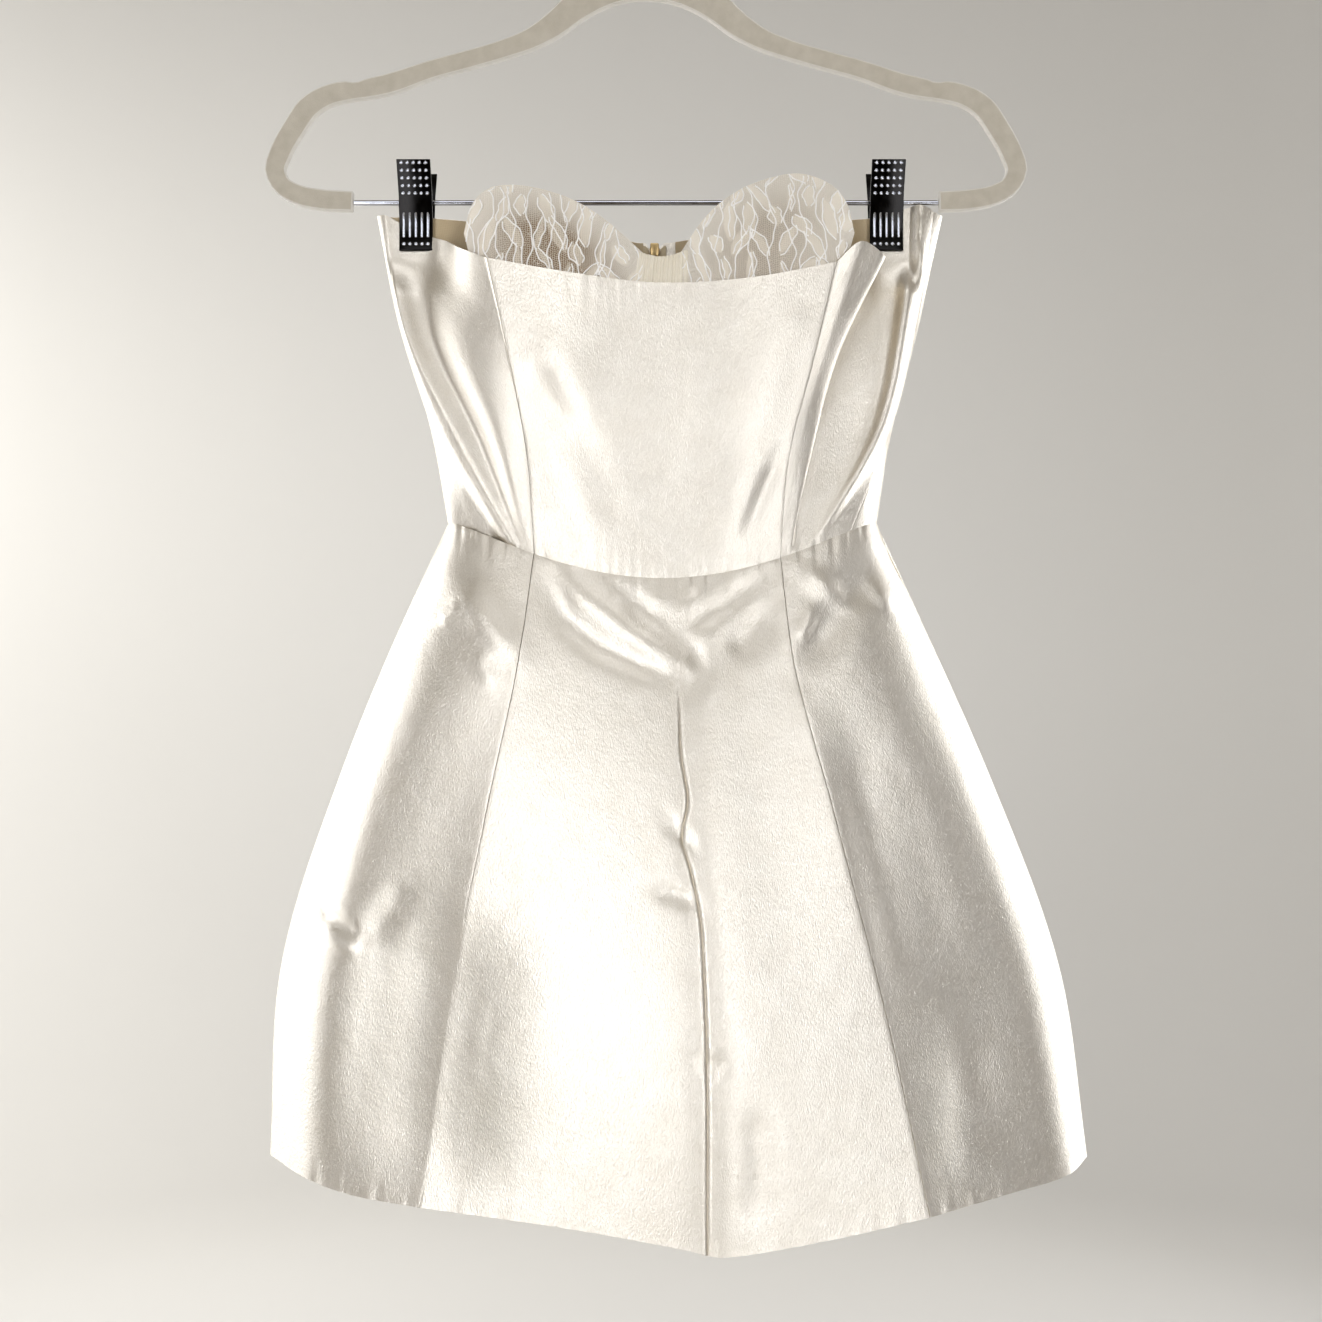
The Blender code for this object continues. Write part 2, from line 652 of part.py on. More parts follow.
def smoothed(grid):
    """The grid with the faceting of the satin in front of it evened out, towards the back."""
    for _ in range(2):
        old = [[p.y for p in row] for row in grid]
        for r in range(len(grid)):
            for c in range(1, len(grid[0]) - 1):
                mean = (old[r][c - 1] + old[r][c + 1]) / 2
                grid[r][c].y = max(old[r][c], mean)
    return grid


def build_cups(bodice):
    surface = inner_bust_surface(bodice)
    pieces = (
        ("cup_left", CUP_LEFT, 2, LACE),
        ("cup_bridge", CUP_BRIDGE, 1, GORE_SATIN),
        ("cup_right", CUP_RIGHT, 2, LACE),
    )
    for name, lines, steps, look in pieces:
        outer = cup_grid(surface, lines, steps)
        if steps > 1:
            outer = smoothed(outer)
        wall = CUP_WALL if steps > 1 else BRIDGE_WALL
        inner = [
            [p + Vector((0, wall, 0)) for p in row]
            for row in outer
        ]
        shell(name, *with_seam_gaps(outer, inner), look)


def place(x, drop):
    return Vector((x * MM, 0, (-ROD_DROP_FROM_HOOK - drop) * MM))


def build_hanger():
    """The velvet body: a flat loop, open along the bottom between the ends of its two bars."""
    half = HANGER_HALF
    mirrored = [HangerPoint(n.name, -n.x, n.drop, n.width) for n in reversed(half[:-1])]
    path = half + mirrored
    middles = [Vector((n.x, 0, n.drop)) for n in path]
    last = len(path) - 1
    outline = ([], [])
    for i, node in enumerate(path):
        along = (middles[min(last, i + 1)] - middles[max(0, i - 1)]).normalized()
        across = Vector((along.z, 0, -along.x)) * node.width / 2
        outline[0].append(middles[i] + across)
        outline[1].append(middles[i] - across)
    ring = outline[0] + outline[1][::-1]
    half_depth = HANGER_THICKNESS / 2
    inset = 1.2
    centre_ring = middles + middles[::-1]
    vertices = []
    for y, pull in ((-half_depth, inset), (-half_depth + inset, 0), (half_depth - inset, 0),
                    (half_depth, inset)):
        for point, middle in zip(ring, centre_ring):
            p = point + (middle - point).normalized() * pull
            vertices.append(to_world(Vector((p.x, y, p.z))))
    n = len(ring)
    faces = []
    for layer in range(3):
        for i in range(n):
            j = (i + 1) % n
            faces.append((layer * n + i, layer * n + j, (layer + 1) * n + j, (layer + 1) * n + i))
    for layer in (0, 3):
        for i in range(last):
            a, b = layer * n + i, layer * n + i + 1
            c, d = layer * n + n - 2 - i, layer * n + n - 1 - i
            faces.append((a, b, c, d))
    make_object("hanger_body", vertices, faces, VELVET)


def round_bar(name, radius, start_x, end_x, look, sides=16):
    vertices = []
    for x in (start_x, end_x):
        for i in range(sides):
            angle = 2 * math.pi * i / sides
            vertices.append(
                place(x, 0) + Vector((0, math.cos(angle), math.sin(angle))) * radius * MM
            )
    faces = [(i, (i + 1) % sides, sides + (i + 1) % sides, sides + i) for i in range(sides)]
    faces += [tuple(range(sides)), tuple(range(sides, 2 * sides))]
    return make_object(name, vertices, faces, look)


def build_hook():
    """The hook: a round wire bent to a question mark, swept ring by ring."""
    middles = [Vector((n.x, 0, n.z)) for n in HOOK_STEM]
    radius = HOOK_INNER_RADIUS + HOOK_WIRE_RADIUS
    for i in range(HOOK_ARC_STEPS + 1):
        share = i / HOOK_ARC_STEPS
        angle = math.radians(HOOK_ARC_START + (HOOK_ARC_END - HOOK_ARC_START) * share)
        middles.append(
            Vector((radius * math.cos(angle), 0, radius * math.sin(angle) - HOOK_INNER_RADIUS))
        )
    sides = 12
    vertices = []
    last = len(middles) - 1
    for i, middle in enumerate(middles):
        along = (middles[min(last, i + 1)] - middles[max(0, i - 1)]).normalized()
        across = Vector((along.z, 0, -along.x))
        for k in range(sides):
            angle = 2 * math.pi * k / sides
            spoke = across * math.cos(angle) + Vector((0, 1, 0)) * math.sin(angle)
            vertices.append((middle + spoke * HOOK_WIRE_RADIUS) * MM)
    faces = []
    for i in range(last):
        for k in range(sides):
            a, b = i * sides + k, i * sides + (k + 1) % sides
            faces.append((a, b, b + sides, a + sides))
    faces += [tuple(range(sides)), tuple(range(last * sides, (last + 1) * sides))]
    make_object("hanger_hook", vertices, faces, CHROME)


def extruded(name, outline, x_start, x_end, look):
    """A solid with a side profile of (y, z) points, in millimetres from the rod's axis."""
    vertices = []
    for x in (x_start, x_end):
        vertices += [place(x, 0) + Vector((0, y, z)) * MM for y, z in outline]
    n = len(outline)
    faces = [(i, (i + 1) % n, n + (i + 1) % n, n + i) for i in range(n)]
    faces += [tuple(range(n)), tuple(range(n, 2 * n))]
    return make_object(name, vertices, faces, look, sharp_degrees=30)


def combine(target, tool, operation):
    modifier = target.modifiers.new("cut", "BOOLEAN")
    modifier.object = tool
    modifier.operation = operation
    modifier.solver = "EXACT"
    graph = bpy.context.evaluated_depsgraph_get()
    mesh = bpy.data.meshes.new_from_object(target.evaluated_get(graph))
    target.modifiers.clear()
    old_mesh = target.data
    target.data = mesh
    bpy.data.meshes.remove(old_mesh)
    bpy.data.objects.remove(tool)


def clip_jaw(name, centre, side, ear_inset):
    """One sprung plate of a clip, with two ears that turn on the rod. side is -1 in front."""
    inner = [(n.y * -side, n.z) for n in CLIP_JAW]
    last = len(inner) - 1
    outer = []
    for i, (y, z) in enumerate(inner):
        before, after = inner[max(0, i - 1)], inner[min(last, i + 1)]
        along = Vector((after[0] - before[0], after[1] - before[1])).normalized()
        away = Vector((along.y, -along.x)) * CLIP_PLATE
        if away.x * side < 0:
            away.negate()
        outer.append((y + away.x, z + away.y))
    half = CLIP_WIDTH / 2
    jaw = extruded(name, inner + outer[::-1], centre - half, centre + half, CLIP_METAL)
    reach = abs(inner[2][0]) + CLIP_PLATE / 2
    for end in (-1, 1):
        near = end * (half - ear_inset)
        far = end * (half - ear_inset - EAR_THICKNESS)
        ear = [(side * reach, 3.4), (side * reach, -3.4)]
        for k in range(9):
            angle = math.radians(-90 + 180 * k / 8)
            ear.append((-side * EAR_RADIUS * math.cos(angle), EAR_RADIUS * math.sin(angle)))
        low, high = sorted((centre + near, centre + far))
        combine(jaw, extruded("ear", ear, low, high, CLIP_METAL), "UNION")
    hole = round_bar("hole", ROD_RADIUS + 0.3, centre - half - 2, centre + half + 2, CLIP_METAL)
    combine(jaw, hole, "DIFFERENCE")


def build_clips():
    for side, centre in CLIP_CENTRES.items():
        clip_jaw(f"clip_{side}_front", centre, -1, 0.0)
        clip_jaw(f"clip_{side}_back", centre, 1, EAR_THICKNESS + 0.3)
        half = CLIP_WIDTH / 2 - 2 * EAR_THICKNESS - 0.6
        spring = round_bar(
            f"clip_{side}_spring", SPRING_RADIUS, centre - half, centre + half, CHROME
        )
        hole = round_bar("hole", ROD_RADIUS + 0.3, centre - half - 1, centre + half + 1, CHROME)
        combine(spring, hole, "DIFFERENCE")


def block(name, centre, size, look):
    """A box in millimetres, from its middle and its full size, both as x, y and z."""
    half = Vector(size) / 2
    corners = [(x, y, z) for x in (-1, 1) for y in (-1, 1) for z in (-1, 1)]
    vertices = [
        (Vector(centre) + Vector((x * half.x, y * half.y, z * half.z))) * MM
        for x, y, z in corners
    ]
    faces = [(0, 1, 3, 2), (4, 6, 7, 5), (0, 4, 5, 1), (2, 3, 7, 6), (0, 2, 6, 4), (1, 5, 7, 3)]
    return make_object(name, vertices, faces, look, sharp_degrees=30)


def build_slider():
    """The slider at the top of the zip, and its pull, which turns on the slider's bar."""
    z = -ROD_DROP_FROM_HOOK - PULL_PIVOT_DROP
    slider = block("zip_slider", (ZIP_X, 2.0, z - 0.5), (5.2, 2.4, 8.0), ZIP_METAL)
    parts = [
        block("neck", (ZIP_X, 5.6, z), (1.6, 6.0, 2.8), ZIP_METAL),
        block("face", (ZIP_X, 8.3, z), (6.0, 0.8, 5.0), ZIP_METAL),
        block("cheek_left", (ZIP_X - 2.5, 10.0, z), (0.8, 3.4, 2.4), ZIP_METAL),
        block("cheek_right", (ZIP_X + 2.5, 10.0, z), (0.8, 3.4, 2.4), ZIP_METAL),
    ]
    for part in parts:
        combine(slider, part, "UNION")
    bar = round_bar("bar", PULL_BAR_RADIUS, ZIP_X - 2.6, ZIP_X + 2.6, ZIP_METAL, 12)
    bar.data.transform(Matrix.Translation(Vector((0, PULL_PIVOT_Y, -PULL_PIVOT_DROP)) * MM))
    combine(slider, bar, "UNION")

    half = PULL_WIDTH / 2
    eye = round_bar("zip_pull", PULL_EYE_RADIUS + 0.75, ZIP_X - half, ZIP_X + half, ZIP_METAL, 12)
    tab = block("tab", (ZIP_X, 0, -ROD_DROP_FROM_HOOK - 1.2 - PULL_LENGTH / 2),
                (PULL_WIDTH, PULL_THICKNESS, PULL_LENGTH), ZIP_METAL)
    combine(eye, tab, "UNION")
    hole = round_bar("hole", PULL_EYE_RADIUS, ZIP_X - half - 1, ZIP_X + half + 1, ZIP_METAL, 12)
    combine(eye, hole, "DIFFERENCE")
    eye.data.transform(Matrix.Translation(Vector((0, PULL_PIVOT_Y, -PULL_PIVOT_DROP)) * MM))


def clear_scene():
    for obj in list(bpy.data.objects):
        bpy.data.objects.remove(obj)


def main():
    clear_scene()
    bodice = bodice_ring()
    skirt = skirt_ring()
    cloth_panels(bodice, 0, WAIST_GAP / 2)
    cloth_panels(skirt, WAIST_GAP / 2, 0)
    build_lining(bodice)
    build_zip(bodice, skirt)
    build_cups(bodice)
    build_slider()
    build_hanger()
    build_hook()
    round_bar("hanger_rod", ROD_RADIUS, ROD_GAP - BAR_END_X, BAR_END_X - ROD_GAP, CHROME)
    build_clips()


main()
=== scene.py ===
import math
from collections import namedtuple

import bmesh
import bpy
import numpy as np
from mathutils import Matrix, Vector
from mathutils.bvhtree import BVHTree


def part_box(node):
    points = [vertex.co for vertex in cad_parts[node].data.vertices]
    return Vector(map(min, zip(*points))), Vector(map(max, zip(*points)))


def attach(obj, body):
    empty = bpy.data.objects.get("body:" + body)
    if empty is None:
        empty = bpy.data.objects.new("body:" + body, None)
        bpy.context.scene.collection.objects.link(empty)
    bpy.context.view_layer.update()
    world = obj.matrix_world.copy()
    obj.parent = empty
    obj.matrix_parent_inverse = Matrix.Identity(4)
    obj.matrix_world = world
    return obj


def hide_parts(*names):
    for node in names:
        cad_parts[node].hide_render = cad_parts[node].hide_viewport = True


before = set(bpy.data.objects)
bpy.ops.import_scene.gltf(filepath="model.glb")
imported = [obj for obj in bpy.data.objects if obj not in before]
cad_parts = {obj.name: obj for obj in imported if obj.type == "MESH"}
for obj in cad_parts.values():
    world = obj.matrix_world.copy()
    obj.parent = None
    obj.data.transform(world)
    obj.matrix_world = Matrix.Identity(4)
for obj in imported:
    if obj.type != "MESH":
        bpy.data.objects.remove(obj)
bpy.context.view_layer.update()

MM = 0.001


def table(kind, *rows):
    """A table of sizes: each row as one named tuple of a kind."""
    return [kind(*row) for row in rows]


# ---- Studio and camera ------------------------------------------------------------------
# The camera's place in millimetres and its focal length. It looks straight along y.
CAMERA_X = 8.8
CAMERA_Y = -850.0
CAMERA_Z = -495.1
LENS = 39.43


def deselect_all():
    if bpy.context.object and bpy.context.object.mode != "OBJECT":
        bpy.ops.object.mode_set(mode="OBJECT")
    bpy.ops.object.select_all(action="DESELECT")


def pick(piece):
    """Makes a piece the only one selected."""
    deselect_all()
    piece.select_set(True)
    bpy.context.view_layer.objects.active = piece


def work_on(piece):
    """Opens a piece in edit mode with all of it selected."""
    pick(piece)
    bpy.ops.object.mode_set(mode="EDIT")
    bpy.ops.mesh.select_mode(type="VERT")
    bpy.ops.mesh.select_all(action="SELECT")


def put_down():
    """Leaves edit mode."""
    bpy.ops.object.mode_set(mode="OBJECT")


def linear(hex_colour):
    """An sRGB hex colour as linear RGBA."""
    value = hex_colour.lstrip("#")
    parts = [int(value[i : i + 2], 16) / 255 for i in (0, 2, 4)]
    rgb = [c / 12.92 if c <= 0.04045 else ((c + 0.055) / 1.055) ** 2.4 for c in parts]
    return (*rgb, 1.0)


def add_node(material, kind, settings=None, links=None):
    """Adds a node. settings are its attributes or input values, links feed its inputs."""
    tree = material.node_tree
    node = tree.nodes.new(kind)
    for key, value in (settings or {}).items():
        if isinstance(key, str) and hasattr(node, key):
            setattr(node, key, value)
        else:
            node.inputs[key].default_value = value
    for key, source in (links or {}).items():
        tree.links.new(source, node.inputs[key])
    return node


def new_material(name):
    material = bpy.data.materials.new(name)
    material.use_nodes = True
    return material, material.node_tree.nodes["Principled BSDF"]


def link(material, source, target):
    material.node_tree.links.new(source, target)


def add_object(name, data):
    added = bpy.data.objects.new(name, data)
    bpy.context.scene.collection.objects.link(added)
    return added


def add_copy(piece):
    """A copy of a piece with a mesh of its own."""
    copy = piece.copy()
    copy.data = piece.data.copy()
    bpy.context.scene.collection.objects.link(copy)
    return copy


def turned_to(place, target, front):
    """The turn that points a thing's front from a place to a target."""
    return (Vector(target) - Vector(place)).to_track_quat(front, "Y").to_euler()


def grid_faces(rows, cols, start=0):
    """The faces of a grid of points that are numbered row by row."""
    faces = []
    for r in range(rows - 1):
        for c in range(cols - 1):
            a = start + r * cols + c
            faces.append((a, a + cols, a + cols + 1, a + 1))
    return faces


def ring_faces(count, sides):
    """The faces between rings of points, each with the same number of sides."""
    faces = []
    for i in range(count - 1):
        for k in range(sides):
            a, b = i * sides + k, i * sides + (k + 1) % sides
            faces.append((a, b, b + sides, a + sides))
    return faces


def averaged(values):
    """Each of the values but the first and the last, averaged with its two neighbours."""
    return (values[:-2] + 2 * values[1:-1] + values[2:]) / 4


def unit(vectors):
    """Vectors brought to a length of 1."""
    return vectors / np.maximum(1e-9, np.linalg.norm(vectors, axis=-1, keepdims=True))


def declare(piece, nodes=(), body="dress"):
    """Says what a piece stands for and the body that it rides on."""
    for node in nodes:
        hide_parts(node)
    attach(piece, body)


def build_camera():
    data = bpy.data.cameras.new("photo_camera")
    data.sensor_width = 36
    data.lens = LENS
    data.clip_start = 0.01
    data.clip_end = 50
    camera = add_object("photo_camera", data)
    camera.location = (CAMERA_X * MM, CAMERA_Y * MM, CAMERA_Z * MM)
    camera.rotation_euler = (math.pi / 2, 0, 0)
    bpy.context.scene.camera = camera


def build_stage():
    """A pale floor that curves up into a wall all round, a long way behind the dress."""
    floor_z, radius, wall_top, corner = -1.7, 3.6, 2.6, 1.2
    corner_steps, segments, middle_hole = 8, 64, 0.001
    profile = [(middle_hole, floor_z), (radius - corner, floor_z)]
    for i in range(1, corner_steps + 1):
        angle = math.radians(90 * i / corner_steps)
        profile.append(
            (radius - corner + corner * math.sin(angle), floor_z + corner * (1 - math.cos(angle)))
        )
    profile.append((radius, wall_top))
    vertices = []
    for r, z in profile:
        for k in range(segments):
            angle = 2 * math.pi * k / segments
            vertices.append((r * math.cos(angle), r * math.sin(angle), z))
    mesh = bpy.data.meshes.new("studio_floor")
    mesh.from_pydata(vertices, [], ring_faces(len(profile), segments))
    mesh.shade_smooth()
    floor = add_object("studio_floor", mesh)
    material, shader = new_material("pale_plaster")
    shader.inputs["Base Color"].default_value = linear("#dad7d0")
    shader.inputs["Roughness"].default_value = 0.9
    floor.data.materials.append(material)

    world = bpy.data.worlds.new("studio_air")
    world.use_nodes = True
    background = world.node_tree.nodes["Background"]
    background.inputs["Color"].default_value = linear("#e8d8bf")
    background.inputs["Strength"].default_value = 0.22
    bpy.context.scene.world = world


def softbox(name, place, target, size, power, colour="#ffffff"):
    data = bpy.data.lights.new(name, "AREA")
    data.shape = "RECTANGLE"
    data.size, data.size_y = size
    data.energy = power
    data.color = linear(colour)[:3]
    lamp = add_object(name, data)
    lamp.location = place
    lamp.rotation_euler = turned_to(place, target, "-Z")


def flag(name, place, target, size, colour):
    """A dark board that the satin reflects between two lights. The camera doesn't see it."""
    deselect_all()
    bpy.ops.mesh.primitive_grid_add(x_subdivisions=2, y_subdivisions=2, size=1)
    board = bpy.context.object
    board.name = name
    board.scale = (size[0], size[1], 1)
    board.location = place
    board.rotation_euler = turned_to(place, target, "Z")
    material, shader = new_material(name + "_felt")
    shader.inputs["Base Color"].default_value = linear(colour)
    shader.inputs["Roughness"].default_value = 1.0
    board.data.materials.append(material)
    board.visible_camera = False


def build_lights():
    """Two tall soft lights beside the camera, two beside the dress, and some at the back."""
    middle = (0, 0, -0.5)
    cool = "#ecf2ff"
    softbox("front_left_softbox", (-0.88, -2.1, -0.62), (-0.1, 0, -0.62), (0.54, 2.1), 21.5, cool)
    softbox("front_right_softbox", (0.92, -2.1, -0.62), (0.1, 0, -0.62), (0.48, 2.1), 18.5, cool)
    softbox("left_softbox", (-2.2, 0.35, -0.4), middle, (1.7, 1.9), 36, cool)
    softbox("right_softbox", (2.25, 0.45, -0.4), middle, (1.5, 1.9), 36, cool)
    softbox("back_left_softbox", (-0.9, 2.2, -0.2), middle, (0.6, 1.5), 8)
    softbox("back_right_softbox", (0.9, 2.2, -0.2), middle, (0.6, 1.5), 8)
    softbox("wall_softbox", (-2.2, 1.3, 0.15), (-1.6, 3.6, -0.1), (1.2, 1.2), 44)
    softbox("top_softbox", (0, -1.4, 1.5), middle, (1.9, 1.0), 13, cool)
    flag("left_flag", (-1.75, -1.2, -0.6), middle, (1.35, 2.4), "#4a3819")
    flag("right_flag", (1.78, -1.18, -0.6), middle, (1.7, 2.4), "#301f06")
    flag("middle_flag", (0.0, -2.3, -0.6), middle, (0.9, 2.4), "#3c2b10")
    bpy.context.scene.view_settings.view_transform = "Standard"


# ---- The dress's cut: the same sizes as its solids, in millimetres -----------------------
CLOTH = 1.4
LINING = 0.8
WAIST_CENTRE_X = 9.7
WAIST_HALF_WIDTH = 125.7
WAIST_FRONT_DEPTH = 34.0
WAIST_BACK_DEPTH = 18.0
WAIST_SIDE_DROP = 188.0
WAIST_FRONT_DIP = 34.0
WAIST_BACK_DIP = 9.0
WAIST_DIP_POWER = 2.6
ROD_DROP_FROM_HOOK = 226.3
CLIP_CENTRES = {"left": -134.4, "right": 140.6}
GRIP_FRONT_Y = -2.3
GRIP_BACK_Y = 2.1
GRIP_HALF_WIDTH = 13.0
GRIP_SIDE_FADE = 7.0
GRIP_BOTTOM = 32.0
GRIP_LOWER_FADE = 26.0
GRIP_REACH = 12.0
GRIP_REACH_FADE = 4.0
MITRE_LIMIT = 0.45
# Where a panel's columns and rows are closer together: shares of the first and last step.
SIDE_STEPS = (0.15, 0.4)
END_STEPS = (0.2, 0.5)
# The part of a panel's length over which its lines settle into the waist seam.
BODICE_SETTLES = 0.2
SKIRT_SETTLES = 0.12

# A line runs down a panel. Its turn round the waist is in degrees, with 0 in front.
BodiceLine = namedtuple("BodiceLine", "name turn x_top x_upper x_lower y_top y_upper y_lower top")
BODICE_KNOTS = (0.0, 1 / 3, 2 / 3, 1.0)

CENTRE_FRONT = table(
    BodiceLine,
    ("princess_left", -35.6, -89.6, -77.3, -67.0, -35, -35, -32, 41.6),
    ("mid_left", -17, -42, -37, -30, -43, -41, -37, 52),
    ("centre", 0, 6, 7, 9, -44, -40, -36, 58),
    ("mid_right", 16, 58, 50, 46, -43, -41, -37, 55),
    ("princess_right", 32.2, 107.8, 94.6, 81.0, -35, -35, -32, 44),
)

SIDE_FRONT_RIGHT = table(
    BodiceLine,
    CENTRE_FRONT[-1],
    ("face_right", 33.6, 123.5, 102.5, 87.5, -26, -31, -31, 29.7),
    ("fold_edge_right", 35.0, 137.8, 110.5, 94.6, -19, -24, -27, 37),
    ("under_fold_right", 36.3, 131, 104, 90, -8, -13, -21, 31),
    ("grip_right", 38, 140, 124, 104, -2.2, -9, -17, 15),
    ("trough_right", 40, 148.5, 142, 126.5, -2.4, -11, -14, 6),
    ("ridge_right", 43, 156.5, 149, 134.5, -8, -16, -17, 3),
    ("dip_right", 47, 164.5, 156.5, 141.5, -6, -10, -10, 4.5),
    ("side_seam_right", 60, 168.5, 159.3, 144, -4, -5, -6, 6.5),
)

SIDE_FRONT_LEFT = table(
    BodiceLine,
    ("side_seam_left", -90, -158, -145.8, -127.5, 0.5, 0.5, 0, 8),
    ("flank_left", -63, -156, -145, -125.5, -3, -5, -6, 8),
    ("dip_left", -48, -153.5, -143, -121, -5, -11, -12, 8),
    ("ridge_left", -42.5, -150.5, -140, -112, -7, -17, -23, 9),
    ("trough_left", -39.8, -136, -126, -96, -2.2, -9, -18, 17),
    ("brow_left", -38.2, -118, -110, -87, -9, -22, -27, 24),
    ("face_left", -37, -106, -93, -79, -24, -30, -31, 33),
    CENTRE_FRONT[0],
)

BACK_RIGHT = table(
    BodiceLine,
    SIDE_FRONT_RIGHT[-1],
    ("side_edge_right", 90, 174, 160.8, 145, 0.5, 0.5, 0, 8),
    ("clip_outer_right", 103, 154, 143, 130, 2.1, 5, 7, 8),
    ("clip_inner_right", 117, 128, 121, 105, 2.1, 8, 12, 9),
    ("mid_back_right", 146, 72, 67, 60, 6, 11, 15, 14),
    ("tape_right", 175.2, 15.5, 16.5, 18.5, 7, 12, 16, 21.5),
    ("notch_right", 178.2, 9, 10, 12, 7, 12, 16, 23.5),
    ("centre_back", 180, 5, 6, 8, 7, 12, 16, 35),
)

BACK_LEFT = table(
    BodiceLine,
    ("centre_back", -180, 5, 6, 8, 7, 12, 16, 35),
    ("notch_left", -178.2, 1, 2, 4, 7, 12, 16, 23.5),
    ("tape_left", -175.2, -5.5, -4.5, -2.5, 7, 12, 16, 21.5),
    ("mid_back_left", -146, -62, -56, -46, 6, 11, 15, 14),
    ("clip_inner_left", -117, -120.5, -104, -88, 2.1, 8, 12, 9),
    ("clip_outer_left", -103, -147.5, -129, -112, 2.1, 5, 7, 8),
    SIDE_FRONT_LEFT[0],
)

SkirtLine = namedtuple(
    "SkirtLine", "name turn x_high x_hip x_low x_hem y_high y_hip y_low y_hem hem"
)
SKIRT_KNOTS = (0.0, 0.15, 0.4, 0.7, 1.0)

SKIRT_CENTRE_FRONT = table(
    SkirtLine,
    ("princess_left", -35.6, -70, -88, -110, -124, -38, -50, -59, -62, 567.5),
    ("lobe_left", -14, -27, -34, -40, -43, -43.5, -58.5, -71, -75, 572.5),
    ("rim_left", 2, 13, 16, 22, 24, -46.3, -64.4, -80.4, -84.4, 581),
    ("valley", 7, 24, 27, 34, 36, -46.2, -64.5, -80.5, -84.5, 584),
    ("rim_right", 12, 33, 37, 46, 48, -45.8, -64.2, -80.2, -84.2, 584),
    ("lobe_right", 22, 58, 70, 88, 100, -41.5, -56.5, -70, -74.5, 579),
    ("princess_right", 32.2, 82.6, 105, 132, 155, -38, -50, -59, -64, 571),
)

SKIRT_SIDE_RIGHT = table(
    SkirtLine,
    SKIRT_CENTRE_FRONT[-1],
    ("hollow_right", 50, 112, 145, 178, 203, -30, -33, -36, -38, 568),
    ("bulge_right", 70, 142, 182, 220, 243, -16, -18, -20, -20, 563),
    ("side_seam_right", 90, 161, 202, 242, 258, 0, 0, -2, -4, 558),
)

SKIRT_SIDE_LEFT = table(
    SkirtLine,
    ("side_seam_left", -90, -142, -180, -214, -220, 0, 0, -2, -4, 557),
    ("bulge_left", -71, -122, -155, -180, -191, -18, -24, -30, -31, 562),
    ("hollow_left", -52, -97, -125, -148, -163, -31, -37, -43, -46, 566),
    SKIRT_CENTRE_FRONT[0],
)

SKIRT_BACK_RIGHT = table(
    SkirtLine,
    SKIRT_SIDE_RIGHT[-1],
    ("back_edge_right", 112, 145, 180, 215, 230, 13, 16, 15, 13, 559),
    ("back_mid_right", 146, 90, 108, 128, 138, 19, 23, 25, 26, 560),
    ("tape_right", 175.2, 19.5, 20.5, 24, 26, 20, 24, 26, 27, 561),
    ("centre_back", 180, 9, 10, 12, 14, 20, 24, 26, 27, 561),
)

SKIRT_BACK_LEFT = table(
    SkirtLine,
    ("centre_back", -180, 9, 10, 12, 14, 20, 24, 26, 27, 561),
    ("tape_left", -175.2, -1.5, -0.5, 0, 2, 20, 24, 26, 27, 561),
    ("back_mid_left", -146, -72, -86, -102, -110, 19, 23, 25, 26, 560),
    ("back_edge_left", -112, -126, -158, -188, -196, 13, 16, 15, 13, 558),
    SKIRT_SIDE_LEFT[0],
)


def spline(values, knots, t):
    """A smooth curve through values at knots, for numbers or vectors."""
    last = len(knots) - 1
    i = max(0, min(last - 1, sum(1 for k in knots[1:-1] if t >= k)))
    span = knots[i + 1] - knots[i]

    def slope(j):
        if j == 0:
            return (values[1] - values[0]) / (knots[1] - knots[0])
        if j == last:
            return (values[last] - values[last - 1]) / (knots[last] - knots[last - 1])
        before = knots[j] - knots[j - 1]
        after = knots[j + 1] - knots[j]
        rise_before = (values[j] - values[j - 1]) / before
        rise_after = (values[j + 1] - values[j]) / after
        return (rise_before * after + rise_after * before) / (before + after)

    s = (t - knots[i]) / span
    h00 = 2 * s**3 - 3 * s**2 + 1
    h10 = s**3 - 2 * s**2 + s
    h01 = -2 * s**3 + 3 * s**2
    h11 = s**3 - s**2
    return (
        values[i] * h00
        + slope(i) * (h10 * span)
        + values[i + 1] * h01
        + slope(i + 1) * (h11 * span)
    )


def smooth(edge_0, edge_1, value):
    """0 below one edge, 1 above the other, and an even rise between them."""
    s = max(0.0, min(1.0, (value - edge_0) / (edge_1 - edge_0)))
    return s * s * (3 - 2 * s)


def waist_point(turn):
    """A point of the waist seam at a turn in degrees, with 0 in front."""
    angle = math.radians(turn)
    facing = math.cos(angle)
    depth = WAIST_FRONT_DEPTH if facing > 0 else WAIST_BACK_DEPTH
    dip = WAIST_FRONT_DIP if facing > 0 else WAIST_BACK_DIP
    return Vector(
        (
            WAIST_CENTRE_X + WAIST_HALF_WIDTH * math.sin(angle),
            -depth * facing,
            WAIST_SIDE_DROP + dip * abs(facing) ** WAIST_DIP_POWER,
        )
    )


